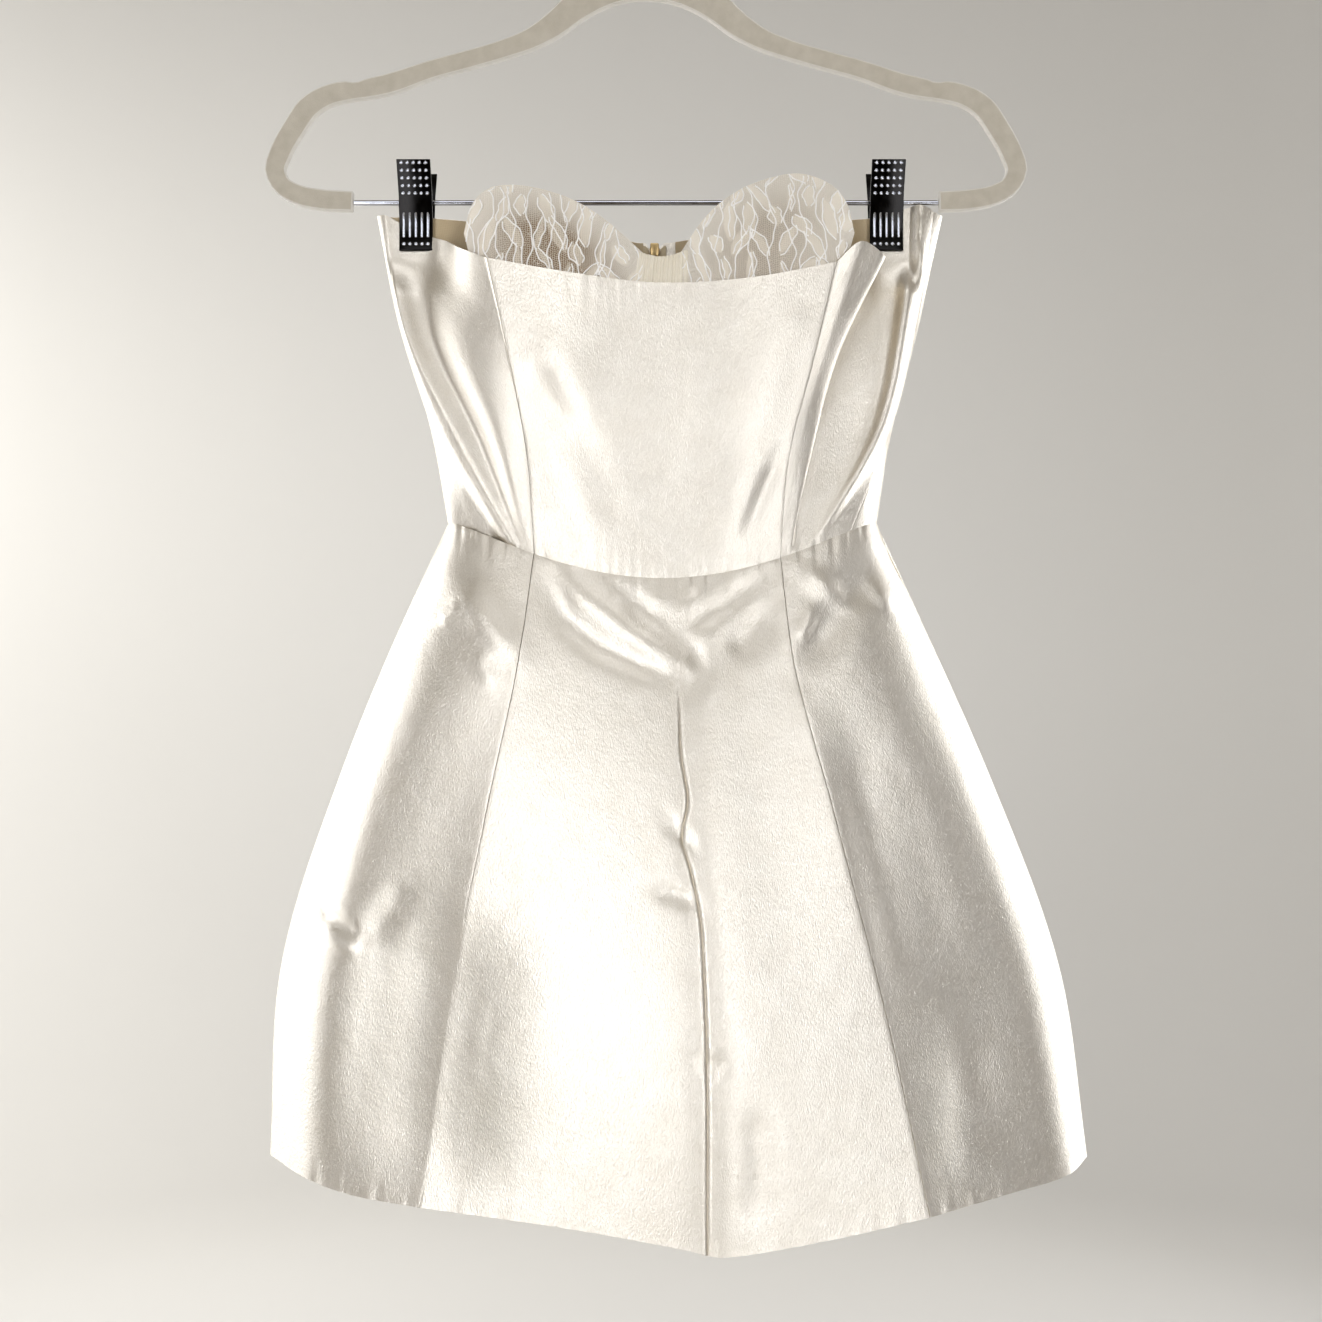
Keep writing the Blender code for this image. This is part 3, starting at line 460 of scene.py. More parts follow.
def line_point(line, v, is_bodice):
    """A point on a line, from 0 at its top to 1 at its bottom."""
    waist = waist_point(line.turn)
    if is_bodice:
        xs = (line.x_top, line.x_upper, line.x_lower, waist.x)
        ys = (line.y_top, line.y_upper, line.y_lower, waist.y)
        knots, top, bottom = BODICE_KNOTS, line.top, waist.z
    else:
        xs = (waist.x, line.x_high, line.x_hip, line.x_low, line.x_hem)
        ys = (waist.y, line.y_high, line.y_hip, line.y_low, line.y_hem)
        knots, top, bottom = SKIRT_KNOTS, waist.z, line.hem
    return Vector((spline(xs, knots, v), spline(ys, knots, v), top + (bottom - top) * v))


def ring_row(points, turns, places, near_waist):
    """Points between the lines of one level, pulled onto the waist seam by near_waist."""
    knots = [0.0]
    for a, b in zip(points, points[1:]):
        knots.append(knots[-1] + max(0.5, math.hypot(b.x - a.x, b.y - a.y)) ** 0.5)
    row = []
    for u in places:
        i = min(len(points) - 2, int(u))
        place = knots[i] + (knots[i + 1] - knots[i]) * (u - i)
        turn = turns[i] + (turns[i + 1] - turns[i]) * (u - i)
        row.append(spline(points, knots, place).lerp(waist_point(turn), near_waist))
    return row


def grip(point, is_back):
    """Flattens the cloth where a clip holds it."""
    for centre in CLIP_CENTRES.values():
        side = abs(point.x - centre)
        across = 1 - smooth(GRIP_HALF_WIDTH, GRIP_HALF_WIDTH + GRIP_SIDE_FADE, side)
        down = 1 - smooth(GRIP_BOTTOM, GRIP_BOTTOM + GRIP_LOWER_FADE, point.z)
        held_y = GRIP_BACK_Y if is_back else GRIP_FRONT_Y
        near = 1 - smooth(GRIP_REACH, GRIP_REACH + GRIP_REACH_FADE, abs(point.y - held_y))
        point.y += (held_y - point.y) * across * down * near
    return point


def columns(counts):
    """Places across a panel, closer together beside its two seams."""
    places = [0.0]
    for i, count in enumerate(counts):
        places += [i + (k + 1) / count for k in range(count)]
    first = places[1] - places[0]
    last = places[-1] - places[-2]
    near_start = [places[0] + first * f for f in SIDE_STEPS]
    near_end = [places[-1] - last * f for f in reversed(SIDE_STEPS)]
    return [places[0]] + near_start + places[1:-1] + near_end + [places[-1]]


def levels(count, spread=1.0):
    """Places down a panel, closer together beside its two ends."""
    places = [(k / count) ** spread for k in range(count + 1)]
    first, last = places[1], 1 - places[-2]
    near_start = [first * f for f in END_STEPS]
    near_end = [1 - last * f for f in reversed(END_STEPS)]
    return [0.0] + near_start + places[1:-1] + near_end + [1.0]


BODICE_LEVELS = levels(84, 1.15)
SKIRT_LEVELS = levels(120)


def panel_grid(lines, counts, is_bodice, is_back):
    """A panel's points in rows from its top to its bottom: x, y and drop in millimetres."""
    turns = [line.turn for line in lines]
    grid = []
    for v in BODICE_LEVELS if is_bodice else SKIRT_LEVELS:
        points = [line_point(line, v, is_bodice) for line in lines]
        if is_bodice:
            row = ring_row(points, turns, columns(counts), smooth(1 - BODICE_SETTLES, 1.0, v))
            row = [grip(point, is_back) for point in row]
        else:
            row = ring_row(points, turns, columns(counts), 1 - smooth(0.0, SKIRT_SETTLES, v))
        grid.append([tuple(point) for point in row])
    return np.array(grid)


def inward_steps(ring):
    """For rows of points round a closed ring, the plan vectors that move a wall in by 1 mm."""
    before = ring - np.roll(ring, 1, axis=1)
    after = np.roll(ring, -1, axis=1) - ring
    sides = []
    for along in (before, after):
        across = np.stack([-along[..., 1], along[..., 0], np.zeros(along.shape[:2])], -1)
        sides.append(unit(across))
    middle = unit(sides[0] + sides[1])
    reach = np.maximum(MITRE_LIMIT, np.sum(middle * sides[1], -1, keepdims=True))
    return middle / reach


def ring_steps(panels):
    """The inward steps of each panel of a ring, seams shared."""
    ring = np.concatenate([p[:, :-1] for p in panels], axis=1)
    steps = inward_steps(ring)
    steps = np.concatenate([steps, steps[:, :1]], axis=1)
    result, start = [], 0
    for panel in panels:
        count = panel.shape[1]
        result.append(steps[:, start : start + count])
        start += count - 1
    return result


def to_world(points):
    """Rows of x, y and drop in millimetres as points in metres."""
    flat = np.asarray(points, float).reshape(-1, 3)
    return np.stack([flat[:, 0], flat[:, 1], -ROD_DROP_FROM_HOOK - flat[:, 2]], -1) * MM


def place(x, drop, y=0.0):
    """One point in metres from x, drop and y in millimetres."""
    return Vector((x * MM, y * MM, (-ROD_DROP_FROM_HOOK - drop) * MM))


def mesh_piece(name, vertices, faces, material, uvs=None, angle=40):
    """A smooth piece from points in metres, its faces turned outward."""
    mesh = bpy.data.meshes.new(name)
    mesh.from_pydata([tuple(v) for v in vertices], [], faces)
    if uvs is not None:
        layer = mesh.uv_layers.new(name="cloth")
        index = np.empty(len(mesh.loops), dtype=np.int64)
        mesh.loops.foreach_get("vertex_index", index)
        layer.data.foreach_set("uv", np.asarray(uvs, dtype=np.float32)[index].ravel())
    work = bmesh.new()
    work.from_mesh(mesh)
    bmesh.ops.recalc_face_normals(work, faces=work.faces)
    work.to_mesh(mesh)
    work.free()
    mesh.shade_smooth()
    mesh.set_sharp_from_angle(angle=math.radians(angle))
    mesh.materials.append(material)
    return add_object(name, mesh)


def cloth_uvs(outer):
    """Lengths along the cloth in metres: across from the first column, and down."""
    across = np.linalg.norm(np.diff(outer, axis=1), axis=-1)
    down = np.linalg.norm(np.diff(outer, axis=0), axis=-1)
    u = np.concatenate([np.zeros((outer.shape[0], 1)), np.cumsum(across, 1)], 1)
    v = np.concatenate([np.zeros((1, outer.shape[1])), np.cumsum(down, 0)], 0)
    u = u - u[:, -1:] / 2
    return np.stack([u, v], -1).reshape(-1, 2) * MM


def cloth_shell(name, outer, inner, material):
    """A closed thin wall between two grids."""
    rows, cols = outer.shape[:2]
    vertices = list(to_world(outer)) + list(to_world(inner))
    count = rows * cols
    faces = grid_faces(rows, cols)
    faces += [face[:1] + face[:0:-1] for face in grid_faces(rows, cols, count)]
    edge = list(range(cols))
    edge += [r * cols + cols - 1 for r in range(1, rows)]
    edge += [(rows - 1) * cols + c for c in range(cols - 2, -1, -1)]
    edge += [r * cols for r in range(rows - 2, 0, -1)]
    faces += [(a, b, b + count, a + count) for a, b in zip(edge, edge[1:] + edge[:1])]
    uvs = cloth_uvs(outer)
    return mesh_piece(name, vertices, faces, material, np.concatenate([uvs, uvs]))


# ---- Creases ----------------------------------------------------------------------------
# A crease is a soft trough (depth below 0) or ridge (above 0) along points of x and drop.
Crease = namedtuple("Crease", "name points width depth")
# Each end fades over this share of the crease, down to this share of its depth.
CREASE_FADE = 0.3
CREASE_END = 0.25

BODICE_CREASES = table(
    Crease,
    ("drag_left_upper", [(-66, 96), (-60, 112), (-50, 128), (-41, 142)], 10, -1.2),
    ("swell_left_upper", [(-68, 80), (-45, 108), (-24, 138)], 13, 1.0),
    ("drag_left_middle", [(-40, 130), (-30, 152), (-21, 176), (-14, 200)], 11, -0.9),
    ("swell_left_lower", [(-66, 130), (-47, 165), (-31, 192), (-20, 212)], 12, 0.7),
    ("dent_left_waist", [(-48, 199), (-38, 211)], 6, -0.7),
    ("swell_right_upper", [(92, 62), (70, 105), (58, 140)], 14, 0.9),
    ("drag_right", [(56, 128), (42, 152), (34, 178)], 11, -0.6),
    ("fold_right", [(77, 149), (67, 172), (55, 203)], 4.5, -1.1),
    ("swell_right_lower", [(64, 150), (50, 184), (42, 208)], 10, 0.6),
)

BACK_BODICE_CREASES = table(
    Crease,
    ("back_drag_left", [(-112, 60), (-92, 110), (-64, 170), (-44, 208)], 12, -2.0),
    ("back_swell_left", [(-80, 70), (-60, 120), (-36, 190)], 13, 1.5),
    ("back_drag_right", [(118, 60), (98, 110), (74, 170), (54, 208)], 12, -2.0),
    ("back_swell_right", [(90, 70), (70, 120), (48, 190)], 13, 1.4),
)

BACK_SKIRT_CREASES = table(
    Crease,
    ("back_roll_left", [(-62, 222), (-42, 248), (-14, 268)], 9, 2.0),
    ("back_roll_right", [(78, 220), (56, 244), (30, 262)], 9, 1.8),
    ("back_fold_left", [(-44, 240), (-62, 330), (-84, 450), (-98, 575)], 18, -3.2),
    ("back_swell_low_left", [(-20, 260), (-30, 350), (-42, 480), (-48, 575)], 15, 2.2),
    ("back_fold_right", [(62, 240), (84, 330), (106, 450), (122, 575)], 18, -3.2),
    ("back_swell_low_right", [(36, 260), (46, 350), (58, 480), (66, 575)], 15, 2.0),
)

SKIRT_CREASES = table(
    Crease,
    ("roll_left", [(-50, 212), (-33, 234), (-16, 245), (4, 259), (22, 271)], 8.5, 3.0),
    ("under_roll", [(-56, 226), (-45, 244), (-26, 260), (-3, 270), (19, 278)], 7, -2.3),
    ("over_roll", [(-15, 233), (-3, 245), (14, 255), (27, 263), (31, 273), (25, 288)], 6, -2.6),
    ("star_patch", [(-13, 231), (4, 240), (20, 245)], 5, -1.5),
    ("star_ridge", [(1, 234), (15, 238)], 3.5, 1.0),
    ("short_ridge", [(31, 229), (20, 245)], 4, 1.4),
    ("drag_right_high", [(67, 221), (47, 239), (30, 247), (22, 249)], 6, -2.0),
    ("ridge_right", [(63, 231), (47, 243), (30, 254)], 5, 1.2),
    ("hollow_right", [(70, 236), (59, 254), (46, 266)], 9, -1.9),
    ("fold_kink", [(10, 352), (18, 362), (28, 372)], 4.0, -1.8),
    ("fold_side_dent", [(6, 392), (16, 395), (28, 399)], 4.5, -2.2),
    ("fold_knee", [(26, 478), (37, 486), (46, 480)], 5, -1.2),
    ("low_hollow_right", [(58, 500), (62, 540), (58, 575)], 10, -1.3),
    ("glint_left", [(-104, 238), (-118, 247)], 4.5, 1.6),
    ("glint_left_low", [(-96, 262), (-84, 284)], 6, 1.2),
    ("glint_right_high", [(86, 214), (104, 228), (120, 240)], 5, 1.7),
    ("glint_right_low", [(96, 238), (86, 258)], 5, 1.7),
    ("glint_right_side", [(128, 222), (143, 240)], 5, 1.4),
    ("gore_ridge_left", [(-110, 224), (-92, 243), (-70, 270)], 10, 2.6),
    ("gore_trough_right", [(141, 210), (118, 230), (100, 256), (89, 276)], 12, -3.0),
    ("pit_left", [(-192, 410), (-178, 416), (-162, 426)], 4.5, -2.4),
    ("pit_ridge_left", [(-188, 421), (-174, 427), (-158, 433)], 5, 1.8),
    ("pit_fold_left", [(-160, 430), (-148, 414), (-132, 392)], 8, -1.6),
    ("gore_wave_left", [(-120, 250), (-128, 320), (-140, 400), (-146, 480)], 17, 1.0),
    ("gore_wave_right", [(122, 250), (150, 330), (176, 410), (186, 480)], 17, 1.6),
    ("gore_hollow_right", [(112, 300), (128, 380), (146, 460)], 12, -1.4),
    ("gore_low_right", [(176, 470), (182, 520), (176, 560)], 14, -1.6),
    ("press_left", [(-85, 436), (-94, 484), (-102, 532)], 1.6, 0.35),
    ("press_cross", [(-65, 457), (-75, 470), (-86, 484)], 1.6, 0.35),
    ("press_high", [(-56, 396), (-70, 408), (-86, 422)], 1.8, 0.35),
    ("dull_left", [(-112, 390), (-120, 490), (-120, 580)], 42, -9.0),
)

# A pucker is a short dimple beside a seam or an edge: its place across, half width, reach
# away from the seam and depth.
Pucker = namedtuple("Pucker", "x half_width reach depth")
# The cloth swells beside each dimple: how wide and how high, as shares of the dimple's.
BESIDE_WIDTH = 2.2
BESIDE_HEIGHT = 0.45
PUCKER_FALL = 1.5
BODICE_PUCKER_SHARE = 0.7

NECK_PUCKERS = table(
    Pucker,
    (-52, 3.0, 12, 0.35), (-41, 2.4, 15, 0.45), (-31, 2.0, 16, 0.6),
    (-23.5, 1.6, 13, 0.6), (-17, 1.7, 18, 0.8), (-11, 1.5, 14, 0.9),
    (-6, 1.3, 12, 0.9), (-2.5, 1.2, 16, 0.9), (1.5, 1.2, 12, 0.9),
    (5.5, 1.3, 17, 1.0), (10, 1.4, 12, 0.8), (16, 1.8, 10, 0.6),
    (25, 2.4, 9, 0.4), (38, 3.0, 8, 0.3), (66, 3.0, 8, 0.2),
)

WAIST_PUCKERS = table(
    Pucker,
    (-107, 2.0, 9, 0.8), (-99, 1.6, 7, 0.7), (-90, 2.2, 9, 0.9),
    (-81, 1.5, 6, 0.6), (-72, 1.8, 6, 0.5), (-58, 2.0, 8, 0.8),
    (-47, 1.6, 7, 0.7), (-37, 1.5, 9, 0.8), (-31, 1.3, 10, 1.0),
    (-25, 1.4, 8, 0.9), (-18, 1.3, 9, 1.0), (-12, 1.2, 7, 0.8),
    (-5, 1.4, 10, 1.0), (2, 1.3, 8, 0.9), (10, 1.5, 9, 1.0),
    (18, 1.3, 7, 0.8), (27, 1.6, 9, 1.0), (35, 1.4, 11, 1.1),
    (46, 1.7, 8, 0.8), (57, 1.5, 7, 0.7), (66, 1.8, 8, 0.8),
    (75, 1.4, 6, 0.6), (88, 2.0, 7, 0.8), (97, 1.6, 9, 0.9),
    (107, 1.8, 9, 1.0), (115, 1.5, 7, 0.8), (125, 1.8, 6, 0.6),
)

HEM_PUCKERS = table(
    Pucker,
    (-186, 3.0, 9, 0.7), (-168, 2.2, 7, 0.7), (-149, 2.8, 8, 0.6),
    (-131, 2.0, 6, 0.5), (-104, 2.6, 12, 1.2), (-93, 2.0, 8, 0.8),
    (-78, 1.8, 7, 0.6), (-64, 1.7, 7, 0.6), (-47, 2.4, 13, 1.2),
    (-34, 1.8, 8, 0.9), (-27, 1.5, 7, 0.8), (-8, 2.6, 8, 0.5),
    (12, 2.2, 7, 0.5), (36, 2.6, 9, 0.8), (58, 2.0, 7, 0.6),
    (78, 2.8, 11, 1.0), (94, 2.2, 9, 0.9), (110, 1.8, 7, 0.6),
    (128, 2.2, 8, 0.7), (141, 2.0, 9, 0.8), (166, 2.6, 9, 0.8),
    (182, 2.2, 8, 0.8), (201, 2.6, 7, 0.6),
)


def bell(distance, width):
    """1 at no distance, falling to almost 0 at two widths."""
    return np.exp(-((distance / width) ** 2))


def pucker_depths(panel, puckers, from_top):
    """How far each point of cloth moves out for the puckers beside a panel's end, in mm."""
    edge = panel[:1] if from_top else panel[-1:]
    reach = np.linalg.norm(panel - edge, axis=-1)
    x = panel[..., 0]
    total = np.zeros(x.shape)
    for pucker in puckers:
        across = bell(x - pucker.x, pucker.half_width)
        beside = bell(x - pucker.x, pucker.half_width * BESIDE_WIDTH)
        away = np.exp(-((reach / pucker.reach) ** PUCKER_FALL))
        total += pucker.depth * away * (BESIDE_HEIGHT * beside - across)
    return total


def crease_depths(points, creases):
    """How far each point of cloth moves out, in mm, from the creases that pass near it."""
    flat = points.reshape(-1, 3)[:, [0, 2]]
    total = np.zeros(len(flat))
    for crease in creases:
        path = np.array(crease.points, float)
        best = np.full(len(flat), 1e9)
        share = np.zeros(len(flat))
        lengths = np.linalg.norm(np.diff(path, axis=0), axis=1)
        whole, done = lengths.sum(), 0.0
        for a, b, length in zip(path, path[1:], lengths):
            t = np.clip(((flat - a) @ (b - a)) / length**2, 0, 1)
            near = a + t[:, None] * (b - a)
            distance = np.linalg.norm(flat - near, axis=1)
            closer = distance < best
            best = np.where(closer, distance, best)
            share = np.where(closer, (done + t * length) / whole, share)
            done += length
        fade = np.clip(np.minimum(share, 1 - share) / CREASE_FADE, 0, 1)
        fade = CREASE_END + (1 - CREASE_END) * fade * fade * (3 - 2 * fade)
        total += crease.depth * fade * bell(best, crease.width)
    return total.reshape(points.shape[:2])


# How the cloth turns in at its seams, in millimetres.
SEAM_DIP = 0.2
SEAM_WIDTH = 0.8
WAIST_DIP = 0.12
SEAM_HALF_GAP = 0.18


def seam_dip(panel):
    """How far the cloth turns in beside its side seams, in mm."""
    left = np.linalg.norm(panel - panel[:, :1], axis=-1)
    right = np.linalg.norm(panel - panel[:, -1:], axis=-1)
    return SEAM_DIP * (bell(left, SEAM_WIDTH) + bell(right, SEAM_WIDTH))


def end_dip(panel, at_top):
    """How far the cloth turns in beside the waist seam, in mm."""
    end = panel[:1] if at_top else panel[-1:]
    distance = np.linalg.norm(panel - end, axis=-1)
    return WAIST_DIP * bell(distance, SEAM_WIDTH)


def inset_sides(panel, amount):
    """A panel with its two side edges drawn in, which leaves a fine gap at the seams."""
    panel = panel.copy()
    for end, beside in ((0, 1), (-1, -2)):
        panel[:, end] += unit(panel[:, beside] - panel[:, end]) * amount
    return panel


# A cut panel fills at least this share of the oblong round it.
SMALLEST_SHARE = 0.3


def hung(grid):
    """Measures a panel's flat cut on its uncreased grid: its width, length and area, none of which
    is kept.
    """
    across = np.linalg.norm(np.diff(grid, axis=1), axis=-1).sum(1).max() * MM
    down = np.linalg.norm(np.diff(grid, axis=0), axis=-1).sum(0).max() * MM
    one, two = grid[1:, 1:] - grid[:-1, :-1], grid[1:, :-1] - grid[:-1, 1:]
    area = np.linalg.norm(np.cross(one, two), axis=-1).sum() / 2 * MM * MM
    area = float(np.clip(area, SMALLEST_SHARE * across * down, across * down))


# The centre-front fold runs down one column of the panel and the two beside it.
FOLD_COLUMN = 46
FOLD_TOP = 266.0
FOLD_FADE = 50.0
FOLD_DEPTHS = {-1: 0.25, 0: 1.05, 1: 0.25}
# How far it strays sideways on its way down: drop and shift, in mm.
FOLD_WANDER = [
    (250, 0), (275, -3), (320, -3.5), (346, 0.5), (364, -6),
    (380, -1), (410, 3), (450, 2), (500, 1), (560, 0),
]
FOLD_REACH = 9.0
FOLD_ROUNDING = 6
SIDE_FRONT_ROUNDING = 45


def wander_fold(panel):
    """Shifts the cloth beside the centre-front fold sideways, so that the fold isn't straight."""
    drops, shifts = np.array(FOLD_WANDER).T
    shift = np.interp(panel[:, FOLD_COLUMN, 2], drops, shifts)
    for _ in range(FOLD_ROUNDING):
        shift[1:-1] = averaged(shift)
    near = bell(np.arange(panel.shape[1]) - FOLD_COLUMN, FOLD_REACH)
    panel[..., 0] += shift[:, None] * near


def press_fold(panel, move):
    """The sharp fold down the centre front, along the column in the bottom of its trough."""
    reach = np.clip((panel[:, FOLD_COLUMN, 2] - FOLD_TOP) / FOLD_FADE, 0, 1)
    for beside, depth in FOLD_DEPTHS.items():
        move[:, FOLD_COLUMN + beside] -= depth * reach


def soften_columns(panel):
    """Rounds the ridges that run down a panel, keeping its two sides."""
    for _ in range(SIDE_FRONT_ROUNDING):
        panel[:, 1:-1, 1] = averaged(panel[..., 1].T).T


Panel = namedtuple("Panel", "name lines counts rests_on")

# The panels in order round the body, with their lines, the columns between one line and the
# next, and what they hang from or are sewn to.
BODICE_PANELS = table(
    Panel,
    (
        "bodice_side_front_left", SIDE_FRONT_LEFT, (4, 4, 6, 12, 12, 12, 12),
        ["clip_jaw_left_front"],
    ),
    (
        "bodice_center_front", CENTRE_FRONT, (20, 20, 20, 20),
        ["bodice_side_front_left_satin", "bodice_side_front_right_satin"],
    ),
    (
        "bodice_side_front_right", SIDE_FRONT_RIGHT, (12, 12, 8, 12, 14, 10, 6, 4),
        ["clip_jaw_right_front"],
    ),
    ("bodice_back_right", BACK_RIGHT, (4, 8, 12, 18, 18, 4, 4), ["clip_jaw_right_back"]),
    ("bodice_back_left", BACK_LEFT, (4, 4, 18, 18, 12, 8), ["clip_jaw_left_back"]),
)
SKIRT_PANELS = table(
    Panel,
    *(
        (f"skirt_{name}", lines, counts, [f"bodice_{name}_satin"])
        for name, lines, counts in (
            ("side_front_left", SKIRT_SIDE_LEFT, (16, 20, 24)),
            ("center_front", SKIRT_CENTRE_FRONT, (18, 18, 10, 10, 14, 20)),
            ("side_front_right", SKIRT_SIDE_RIGHT, (24, 20, 16)),
            ("back_right", SKIRT_BACK_RIGHT, (16, 18, 20, 4)),
            ("back_left", SKIRT_BACK_LEFT, (4, 20, 18, 16)),
        )
    ),
)


# The places of the two backs in a ring of panels.
RIGHT_BACK, LEFT_BACK = 3, 4


def build_dress(satin):
    """The ten satin panels.

    Returns, for the bodice (True) and the skirt (False), the creased panels and inward steps.
    """
    rings = {}
    for ring, is_bodice in ((BODICE_PANELS, True), (SKIRT_PANELS, False)):
        names = [cut.name for cut in ring]
        panels = [panel_grid(cut.lines, cut.counts, is_bodice, "back" in cut.name) for cut in ring]
        if is_bodice:
            soften_columns(panels[names.index("bodice_side_front_left")])
        else:
            wander_fold(panels[names.index("skirt_center_front")])
        steps = ring_steps(panels)
        creased = []
        for name, cut, panel, step in zip(names, ring, panels, steps):
            dip = seam_dip(panel) + end_dip(panel, not is_bodice)
            move = np.zeros(panel.shape[:2])
            if "back" in name:
                creases = BACK_BODICE_CREASES if is_bodice else BACK_SKIRT_CREASES
            else:
                creases = BODICE_CREASES if is_bodice else SKIRT_CREASES
            move += crease_depths(panel, creases)
            if name == "skirt_center_front":
                press_fold(panel, move)
            if is_bodice:
                move += pucker_depths(panel, NECK_PUCKERS, True) * ("center" in name)
                move += pucker_depths(panel, WAIST_PUCKERS, False) * BODICE_PUCKER_SHARE
            else:
                move += pucker_depths(panel, WAIST_PUCKERS, True)
                move += pucker_depths(panel, HEM_PUCKERS, False)
            creased.append(panel - step * move[..., None])
            outer = panel + step * (dip - move)[..., None]
            inner = panel + step * (CLOTH - move)[..., None]
            outer, inner = inset_sides(outer, SEAM_HALF_GAP), inset_sides(inner, SEAM_HALF_GAP)
            piece = cloth_shell(name + "_satin", outer, inner, satin)
            declare(piece, [name])
            hung(panel)
        rings[is_bodice] = (creased, steps)
    return rings


# ---- Cups, lining and zip -----------------------------------------------------------------
CupLine = namedtuple("CupLine", "name x_top top x_low low")

CUP_LEFT = table(
    CupLine,
    ("outer", -104, 24, -93, 66),
    ("rise", -100, 9, -88, 74),
    ("shoulder", -92, 0, -80, 82),
    ("peak", -78, -2.8, -67, 88),
    ("slope", -60, 0.4, -52, 91),
    ("fall", -40, 8.5, -36, 90),
    ("inner", -22, 21, -21, 84),
    ("gore_left", 1.4, 43, -5.5, 76),
)

CUP_BRIDGE = table(
    CupLine,
    ("gore_left", -4, 40, -8, 76),
    ("gore_middle", 10, 42.6, 7, 76),
    ("gore_right", 24, 38.5, 24, 76),
)

CUP_RIGHT = table(
    CupLine,
    ("gore_right", 18.6, 42.2, 20, 76),
    ("inner", 32, 21, 34, 84),
    ("rise", 46, 6.5, 48, 90),
    ("slope", 63, -4, 62, 91),
    ("peak", 86, -10.5, 80, 88),
    ("shoulder", 104, -5, 93, 82),
    ("fall", 114.5, 7, 101, 74),
    ("outer", 119, 25, 107, 66),
)

# Walls and gaps in millimetres. Above the satin's edge a cup leans back and curves.
CUP_WALL = 3.0
BRIDGE_WALL = 1.4
CUP_CLEARANCE = 0.7
CUP_LEAN = 0.06
CUP_CURVE = 0.0035
CUP_BACK_LIMIT = -15.0
CUP_ROUNDING = 6
# Rows down a piece, and steps between one line and the next.
CUP_GRID = (80, 18)
BRIDGE_GRID = (30, 40)
RUCHE_COLUMNS = 7.3
RUCHE_HEIGHT = 0.35
RUCHE_FORWARD = 0.25
# The satin hides the lowest part of a cup, which gets no cords.
LACE_HIDDEN = 22
# Painted shade on the lace: how far below a cup's top edge it takes to deepen, in mm, and the
# middle and width of its band as shares of the cup's width.
SHADE_REACH = 26.0
SHADE_MIDDLE = 0.48
SHADE_WIDTH = 0.3
RAY_START_Y = -200.0


def ray_surface(grids):
    """Grids of points as one surface that a ray can hit."""
    vertices, faces = [], []
    for grid in grids:
        faces += grid_faces(*grid.shape[:2], len(vertices))
        vertices += [Vector(p) for p in grid.reshape(-1, 3)]
    return BVHTree.FromPolygons(vertices, faces)


def first_hit(surface, x, drop):
    """Where a ray from the front meets a surface, or None."""
    return surface.ray_cast(Vector((x, RAY_START_Y, drop)), Vector((0, 1, 0)))[0]


def bust_y(surface, x, drop):
    """The cup's depth: just inside the satin, and leaning back from it above its edge."""
    above = 0.0
    hit = first_hit(surface, x, drop)
    while hit is None or hit.y > CUP_BACK_LIMIT:
        above += 0.5
        hit = first_hit(surface, x, drop + above)
    return hit.y + CUP_LEAN * above + CUP_CURVE * above * above


def cup_places(lines, rows, steps):
    """The x and drop of a cup's points, row by row from its top edge down."""
    grid = []
    for r in range(rows + 1):
        v = r / rows
        points = [
            Vector((n.x_top + (n.x_low - n.x_top) * v, 0, n.top + (n.low - n.top) * v))
            for n in lines
        ]
        knots = list(range(len(points)))
        count = steps * (len(lines) - 1)
        grid.append([spline(points, knots, c / steps) for c in range(count + 1)])
    return grid


def evened(grid, times):
    """A grid of depths with its small steps smoothed away."""
    for _ in range(times):
        grid[1:-1] = averaged(grid)
        grid[:, 1:-1] = averaged(grid.T).T
    return grid


def cup_points(surface, lines, rows, steps):
    places = cup_places(lines, rows, steps)
    points = np.array([[(p.x, bust_y(surface, p.x, p.z), p.z) for p in row] for row in places])
    points[..., 1] = evened(points[..., 1], CUP_ROUNDING)
    return points


# The lace is a plain spray of leaves: middles in rows, each with its own turn and size.
LEAF_PITCH_X = 14.0
LEAF_PITCH_DROP = 15.0
LEAF_LENGTH = 21.0
LEAF_WIDTH = 6.4
LEAF_STRAY = 3
LEAF_LEAN = 0.75
LEAF_ROUNDNESS = 0.8
LEAF_EDGE = 0.7
LENGTH_SPREAD = (0.6, 1.3)
WIDTH_SPREAD = (0.6, 1.4)
CORD_RADIUS = 0.42
CORD_RAISED = 0.35
LEAF_CORD_STEPS = 10
CORD_REACH = (0.7, 1.0)
# The share of leaves with both sides corded. The others have one side and a vein.
BOTH_SIDES_SHARE = 0.6
# The stems between the leaves: steps, how far they sway, the lengths of their two waves
# and how far apart they are, as shares of the leaves' pitch.
STEM_STEPS = 46
STEM_SWAY = (1.6, 3.2)
STEM_WAVES = (6.5, 2.1)
STEM_SPACING = (0.45, 0.9)


